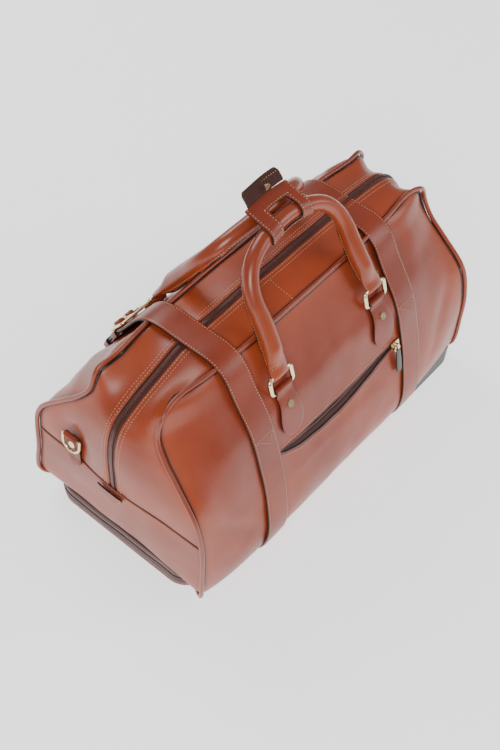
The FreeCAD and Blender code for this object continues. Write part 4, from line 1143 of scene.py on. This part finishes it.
def make_handles():
    for name, side in (("front", -1), ("back", 1)):
        start = pivot(f"{name}_handle_swing")
        lean = math.radians(32.5)
        up_axis = Vector((0, -side * math.sin(lean), math.cos(lean)))
        normal = Vector((0, side * math.cos(lean), math.sin(lean)))
        line = handle_stations()
        stations, seam_line = [], [[], []]
        total = len(line) - 1
        along = [0.0]
        for (ax, ay, _), (bx, by, _) in zip(line, line[1:]):
            along.append(along[-1] + math.hypot(bx - ax, by - ay))
        whole = along[-1]

        def seam_angle(near_end):
            return math.radians(221 + 98 * near_end / whole)

        def ridge(angle, centre):
            gap = (angle - centre + math.pi) % (2 * math.pi) - math.pi
            return 2.0 * math.exp(-(gap / 0.12) ** 2) - 0.4 * math.exp(-((abs(gap) - 0.34) / 0.12) ** 2)

        for h in (-4.7, -4.2, -3.0, -1.5):
            deep = math.sqrt(max(4.9 ** 2 - h * h, 0.3))
            stations.append((start + Vector((-HANDLE_X, 0, 0)) + up_axis * h, Vector((1, 0, 0)), normal,
                             13.8 if h > -4.5 else 13.2, deep, None))
        for i, (x, y, heading) in enumerate(line):
            near = min(along[i], whole - along[i])
            turn = math.radians(heading)
            side_way = Vector((math.sin(turn), 0, 0)) + up_axis * -math.cos(turn)
            morph = smooth_step(8, 34, near)
            slim = smooth_step(40, 130, near)
            radius = 11.8 - 2.3 * slim
            wide = 13.8 + (radius - 13.8) * morph
            deep = 4.9 + (radius - 4.9) * morph
            wobble = 0.25 * wander(x, y, 0, 24, side + 5)
            centre = start + Vector((x, 0, 0)) + up_axis * y
            seam = seam_angle(along[i])
            extra = (lambda angle, m=morph, c=seam: ridge(angle, c) * m) if near > 12 else None
            stations.append((centre, side_way, normal, wide + wobble, deep + wobble, extra))
            if near > 16:
                for row, spread in enumerate((seam - 0.36, seam + 0.36)):
                    spoke = side_way * math.cos(spread) + normal * math.sin(spread)
                    seam_line[row].append((centre + side_way * ((wide + 0.1) * math.cos(spread))
                                           + normal * ((deep + 0.1) * math.sin(spread)), spoke))
        for h in (-1.5, -3.0, -4.2, -4.7):
            deep = math.sqrt(max(4.9 ** 2 - h * h, 0.3))
            stations.append((start + Vector((HANDLE_X, 0, 0)) + up_axis * h, Vector((-1, 0, 0)), normal,
                             13.8 if h > -4.5 else 13.2, deep, None))
        made = sweep(f"{name}_handle_roll", stations, [ROLL_HIDE, EDGE_PAINT_AND_SHADE], 48)
        first = 4
        for polygon in made.data.polygons:
            i, k = polygon.index // 48 - first, polygon.index % 48
            if 6 < i < total - 6:
                gap = (2 * math.pi * (k + 0.5) / 48 - seam_angle(along[i]) + math.pi) % (2 * math.pi) - math.pi
                polygon.material_index = 1 if abs(gap) < 0.13 else 0
        finish(made, f"{name}_handle", "leather", f"{name}_handle")
        stitch(f"{name}_handle", seam_line[0])
        stitch(f"{name}_handle", seam_line[1])
        for x in (-HANDLE_X, HANDLE_X):
            for h in (11.0, 14.5):
                deep = 4.9 + (11.5 - 4.9) * smooth_step(8, 34, h)
                row = [(start + Vector((x + w, 0, 0)) + up_axis * h
                        + normal * (deep * math.sqrt(max(0.05, 1 - (w / 13.8) ** 2)) + 0.2), normal)
                       for w in steps(-10, 10, 8)]
                stitch(f"{name}_handle", row)


WRAP_HALF = 36.0
WRAP_LOW = -34.0


def wrap_point(x, s):
    """The wrap over both rolls: s runs from low in front of the front roll to the foot of the flap."""
    top = pivot("front_handle_swing") + Vector((0, math.sin(math.radians(32.5)), math.cos(math.radians(32.5)))) * 147
    sag = x * x / 2 / 150
    if s < 0.6:
        angle = math.radians(200 - 110 * s / 0.6)
        radius = 10.8
        y = top.y + radius * math.cos(angle) - 2.4 * (x / WRAP_HALF) ** 2
        z = top.z + radius * math.sin(angle)
    else:
        share = (s - 0.6) / 0.4
        y = top.y + (17.0 - top.y) * share
        z = top.z + 10.8 + 6.8 * share ** 1.6 + 0.9 * math.sin(math.pi * share)
        y -= 2.4 * (x / WRAP_HALF) ** 2 * (1 - share)
    return Vector((x, y, z - sag))


def make_wrap():
    across = steps(WRAP_LOW, -15, 12) + steps(-15, 19, 24)[1:] + steps(19, WRAP_HALF, 11)[1:]
    around = steps(0, 0.06, 4) + steps(0.06, 0.77, 36)[1:] + steps(0.77, 1, 14)[1:]

    def rounded(x, s):
        """Rounds the slot's corners: its ends curve in towards the long edges."""
        if 0.06 <= s <= 0.77 and -15 <= x <= 19:
            bend = abs((s - 0.415) / 0.355) ** 7
            return wrap_point(2 + (x - 2) * (1 - 0.16 * bend), s)
        return wrap_point(x, s)

    rows = [[rounded(x, s) for s in around] for x in across]

    def slot(i, j):
        return 12 <= i < 36 and 4 <= j < 40

    made = sheet_of("handle_wrap_hide", rows, [STRAP_HIDE, EDGE_PAINT_AND_SHADE], skip=slot)
    weld(made, 0.001)
    face_outwards(made, (0, -5, 374))
    thicken(made, 2.4, offset=1.0, soften=0.6)
    finish(made, "front_handle", "leather", "handle_wrap")

    def lifted(x, s):
        point = wrap_point(x, s)
        normal = (wrap_point(x + 1, s) - point).cross(wrap_point(x, min(s + 0.02, 1)) - wrap_point(x, s - 0.02))
        normal.normalize()
        if normal.dot(point - Vector((x, -6, 372))) < 0:
            normal.negate()
        return point + normal * 2.6, normal

    for x in (WRAP_LOW + 2.6, -17.6, 21.6, WRAP_HALF - 2.6):
        stitch("front_handle", [lifted(x, s) for s in steps(0.06, 0.97 if abs(x - 2) > 25 else 0.79, 30)])
    stitch("front_handle", [lifted(x, 0.8) for x in steps(-17, 21, 12)])
    stitch("front_handle", [lifted(x, 0.05) for x in steps(WRAP_LOW + 3, WRAP_HALF - 3, 20)])
    foot = pivot("wrap_flap_fold")
    rows, line = [], []
    for h in [-0.2] + steps(1, 12, 6) + [14, 15.6, 16.6]:
        corner = max(0.0, (h - 11) / 6.0)
        half = 31 - 6.5 * (1 - math.sqrt(max(0.0, 1 - corner ** 2)))
        rows.append([Vector((x * half, foot.y - 1.3 + 0.35 * h + 0.025 * h * h + 0.5 * math.sin(x * 2.2),
                             foot.z + 0.76 * h - x * x * 2.2)) for x in steps(-1, 1, 20)])
    flap = sheet_of("wrap_flap_hide", rows, [SUEDE, EDGE_PAINT_AND_SHADE, STRAP_HIDE])
    thicken(flap, 2.4, offset=0.0, soften=0.6)
    settle(flap)
    for polygon in flap.data.polygons:
        if polygon.normal.y > 0.6 and polygon.material_index == 0:
            polygon.material_index = 2
    finish(flap, "wrap_flap", "dark_leather", "wrap_flap")
    high = 13.6
    stitch("wrap_flap", [(Vector((x, foot.y - 2.7 + 0.35 * high + 0.025 * high * high, foot.z + 0.76 * high - (x / 31) ** 2 * 2.2)),
                          Vector((0, -1, 0))) for x in steps(-26, 26, 20)])


# ------------------------------------------------------------------ D-ring tabs, patches, pulls, base

def make_end_tabs():
    for name, side in (("left", -1), ("right", 1)):
        bar = pivot(f"{name}_dee_swing")
        out = Vector((side * math.cos(math.radians(7)), 0, math.sin(math.radians(7))))
        up_axis = Vector((-side * math.sin(math.radians(7)), 0, math.cos(math.radians(7))))
        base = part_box(f"{name}_dee_tab")[0][2] / MM - 11

        def outline(up):
            if up < 10:
                return max(1.0, 12.0 * math.sqrt(max(0.0, 1 - ((10 - up) / 10) ** 2)))
            return 12.0 - 1.8 * smooth_step(10, 44, up)

        def surface(w, up):
            return end_at(side, bar.y + w, base + up)

        heights = [10 * (1 - math.cos(a)) for a in steps(0.1, math.pi / 2, 6)] + steps(14, 45, 8)
        tab = tongue("tab", surface, outline, heights, bar, (4.1, Vector((0, 1, 0)), out, up_axis), 4.0, "bag")
        for vertex in tab.data.vertices[:15 * len(heights)]:
            plane = abs(vertex.co.x / MM)
            share = smooth_step(12, 38, vertex.co.z / MM - base)
            target = abs(bar.x) - 2.0 - 0.12 * (vertex.co.z / MM - bar.z)
            vertex.co.x = side * (plane + (target - plane) * share) * MM
        face_outwards(tab, (0, 0, 140))
        finish(thicken(tab, 3.0, soften=0.65), "bag", "leather", f"{name}_dee_tab")
    patches = []
    for side in (-1, 1):
        rows, line = [], []
        for up in steps(0, 1, 8):
            half = 19.5 * math.sqrt(max(0.0004, 1 - (1 - up) ** 2))
            z = 105 + 15 * up
            row = []
            for w in steps(-1, 1, 16):
                point, normal = end_at(side, 3 + w * half, z, 4.4)
                row.append(point)
            rows.append(row)
            if up > 0.1:
                line.append(end_at(side, 3 + half - 2, z, 4.5))
                line.insert(0, end_at(side, 3 - half + 2, z, 4.5))
        patch = sheet_of("patch", rows, [HIDE, EDGE_PAINT_AND_SHADE])
        patches.append(thicken(face_outwards(patch, (0, 0, 120)), 2.2, soften=0.6))
        stitch("bag", line)
    finish(join("zip_end_patch_hide", patches), "bag", "leather", "zip_end_patches")


def make_pulls():
    slant = {"main": (Vector((0.122, 0, -0.9925)), Vector((0.9925, 0, 0.122))),
             "pocket": (Vector((0, -0.2656, -0.9641)), Vector((0, -0.9641, 0.2656))),
             "base": (Vector((-1, 0, 0)), Vector((0, 1, 0)))}
    for name, (down, out) in slant.items():
        hinge = pivot(f"{name}_pull_swing")
        across = down.cross(out)
        rows = []
        for d in (5.4, 5.9, 7.5, 10, 14, 20, 28, 35, 39, 41.5, 42.8):
            near = min(d - 5.0, 43.2 - d)
            half = 5.0 * min(1.0, 0.42 + 0.58 * math.sqrt(min(near / 3.2, 1.0))) * (0.78 + 0.22 * smooth_step(6, 26, d))
            curl = 0.5 * math.sin(d / 9)
            rows.append([hinge + down * d + across * (w * half) + out * (curl + 0.35 * (1 - w * w))
                         for w in steps(-1, 1, 8)])
        made = sheet_of(f"{name}_pull_hide", rows, [DARK_HIDE, EDGE_PAINT_AND_SHADE])
        finish(thicken(made, 2.0, offset=0.0, soften=0.6), f"{name}_pull", "dark_leather", f"{name}_pull_tab")


def base_outline(depth=0.0, zone=None):
    """The plan of the base compartment, from the front right corner round the left end to the back right."""
    low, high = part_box("base_tray")
    x0, x1, half = low[0] / MM + depth, high[0] / MM, high[1] / MM - depth
    corner = 30.0 - depth
    line = [Vector((x, -half, 0)) for x in steps(x1, x0 + corner, 50)[:-1]]
    line += [Vector((x0 + corner - corner * math.sin(a), -half + corner - corner * math.cos(a), 0))
             for a in steps(0, math.pi / 2, 10)]
    line += [Vector((x0, y, 0)) for y in steps(-half + corner, half - corner, 40)[1:-1]]
    line += [Vector((x0 + corner - corner * math.cos(a), half - corner + corner * math.sin(a), 0))
             for a in steps(0, math.pi / 2, 10)]
    line += [Vector((x, half, 0)) for x in steps(x0 + corner, x1, 50)[1:]]
    return line, x0


def make_base():
    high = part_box("base_tray")[1][2] / MM
    line, x0 = base_outline()
    ends = []
    for i in range(len(line)):
        ahead = line[min(i + 1, len(line) - 1)] - line[max(i - 1, 0)]
        ends.append(Vector((-ahead.y, ahead.x, 0)).normalized() * -1)
    if ends[60].x > 0:
        ends = [-e for e in ends]

    def wall(i, z, depth):
        point = line[i]
        bend = 3.0 * wander(point.x, point.y, 0, 60, 9) * math.sin(math.pi * min(z / high, 1))
        return Vector((point.x, point.y, z)) + ends[i] * (depth + bend)

    rows = []
    for i in range(len(line)):
        profile = [(0.0, -6.0), (0.0, -1.2), (1.0, -0.2), (3.0, 0.2), (5.0, 0.0)]
        if line[i].x > x0 + 70:
            profile += [(12, 0.6), (22, 0.6), (30, -0.6), (high, -2.5)]
        else:
            profile += [(5.2, -1.2), (12, -1.6), (22, -1.6), (high, -2.5)]
        rows.append([wall(i, z, d) for z, d in profile])
    shell = sheet_of("base_wall", rows, [HIDE, EDGE_PAINT_AND_SHADE])
    bottom = make_object("base_floor", [Vector((p.x, p.y, 0)) for p in (q - e * 5.5 for q, e in zip(line, ends))],
                         [tuple(range(len(line)))], [HIDE], smooth=False)
    parts = [thicken(face_outwards(shell, (-60, 0, 16)), 1.6, rim=0), bottom]
    if bottom.data.polygons[0].normal.z > 0:
        bottom.data.flip_normals()
    bottom.modifiers.new("sole", "SOLIDIFY").thickness = 2.0 * MM
    finish(join("base_compartment_hide", parts), "bag", "leather", "base_tray")
    zone = [i for i in range(len(line)) if line[i].x < x0 + 69]
    rows = []
    for i in zone:
        rows.append([wall(i, z, d) for z, d in ((4.6, 0.2), (7.5, 1.0), (12.5, 1.3), (15.6, 0.7), (16.6, 0.2),
                                                 (19.4, 0.2), (20.4, 0.7), (24, 1.3), (29, 0.6), (high, -0.8))])
    tape = sheet_of("base_zip_cloth", rows, [TAPE])
    finish(thicken(face_outwards(tape, (-60, 0, 16)), 0.9, rim=0), "bag", "zip_tape", "base_zip_tape")
    lines = [[(wall(i, z, 1.0), ends[i]) for i in zone] for z in (17.0, 19.0)]
    made = along_lines("base_zip_chain", lines, TEETH, 2.0, 1.25, 2.3, 1.9, square=True)
    finish(made, "bag", "zip_teeth", "base_zip_teeth")


def dress_frame_nodes():
    """Finishes for the pieces whose shape comes from the frame as it is."""
    finishes = {"brass": BRASS, "guard": GUARD, "board": BOARD}
    for part in frame["record"]["subparts"]:
        if part["material_slot"] in finishes:
            shown = frame["nodes"][part["node"]]
            shown.data.materials.clear()
            shown.data.materials.append(finishes[part["material_slot"]])
            for polygon in shown.data.polygons:
                polygon.material_index = 0


def make_stitches():
    for body, lines in STITCHES.items():
        made = along_lines(f"{body}_stitches", lines, THREAD, 3.8, 2.4, 0.85, 0.7)
        finish(made, body, "leather")


# ------------------------------------------------------------------ room

def make_room():
    half = 3.0
    floor = make_object("studio_floor", [(-half / MM, -half / MM, -0.3), (half / MM, -half / MM, -0.3),
                                         (half / MM, half / MM, -0.3), (-half / MM, half / MM, -0.3)],
                        [(0, 1, 2, 3)], [plain("white_paper", (0.86, 0.86, 0.86), 0.9, speckle=40.0, spread=0.01)],
                        smooth=False)
    paper = floor.data.materials[0].node_tree.nodes["Principled BSDF"]
    paper.inputs["Emission Color"].default_value = (1, 1, 1, 1)
    paper.inputs["Emission Strength"].default_value = 1.1
    world = bpy.data.worlds.new("studio")
    world.use_nodes = True
    world.node_tree.nodes["Background"].inputs["Color"].default_value = (1, 1, 1, 1)
    world.node_tree.nodes["Background"].inputs["Strength"].default_value = 0.33
    bpy.context.scene.world = world
    for name, place, aim, size, power in (
            ("key_box", (-1.5, -0.9, 1.7), (0, 0, 0.1), 1.0, 30),
            ("back_box", (0.3, 1.7, 1.8), (0, 0, 0.15), 1.2, 26),
            ("side_box", (1.4, -1.6, 1.4), (0, 0, 0.1), 1.2, 20)):
        light = bpy.data.lights.new(name, "AREA")
        light.size = size
        light.energy = power
        lamp = bpy.data.objects.new(name, light)
        lamp.location = place
        lamp.rotation_euler = (Vector(aim) - Vector(place)).to_track_quat("-Z", "Y").to_euler()
        bpy.context.scene.collection.objects.link(lamp)


def make_camera():
    data = bpy.data.cameras.new("photo_camera")
    data.sensor_width = 36
    data.lens = 59.79
    data.clip_end = 20
    camera = bpy.data.objects.new("photo_camera", data)
    right, up, ahead = Vector((0.64116, -0.76551, 0.05393)), Vector((0.58201, 0.53086, 0.61599)), Vector(
        (0.50018, 0.36356, -0.78590))
    turn = Matrix((right, up, -ahead)).transposed().to_4x4()
    camera.matrix_world = Matrix.Translation((-0.8084, -0.5725, 1.3419)) @ turn
    bpy.context.scene.collection.objects.link(camera)
    bpy.context.scene.camera = camera


make_camera()
mouth_rise = make_front_panel()
make_back_panel()
make_gusset()
make_floor_and_lining()
make_piping()
make_main_zip()
make_pocket(mouth_rise)
make_straps()
make_handle_tabs()
make_metal_frames()
make_handles()
make_wrap()
make_end_tabs()
make_pulls()
make_base()
dress_frame_nodes()
make_stitches()
make_room()

bpy.context.view_layer.update()
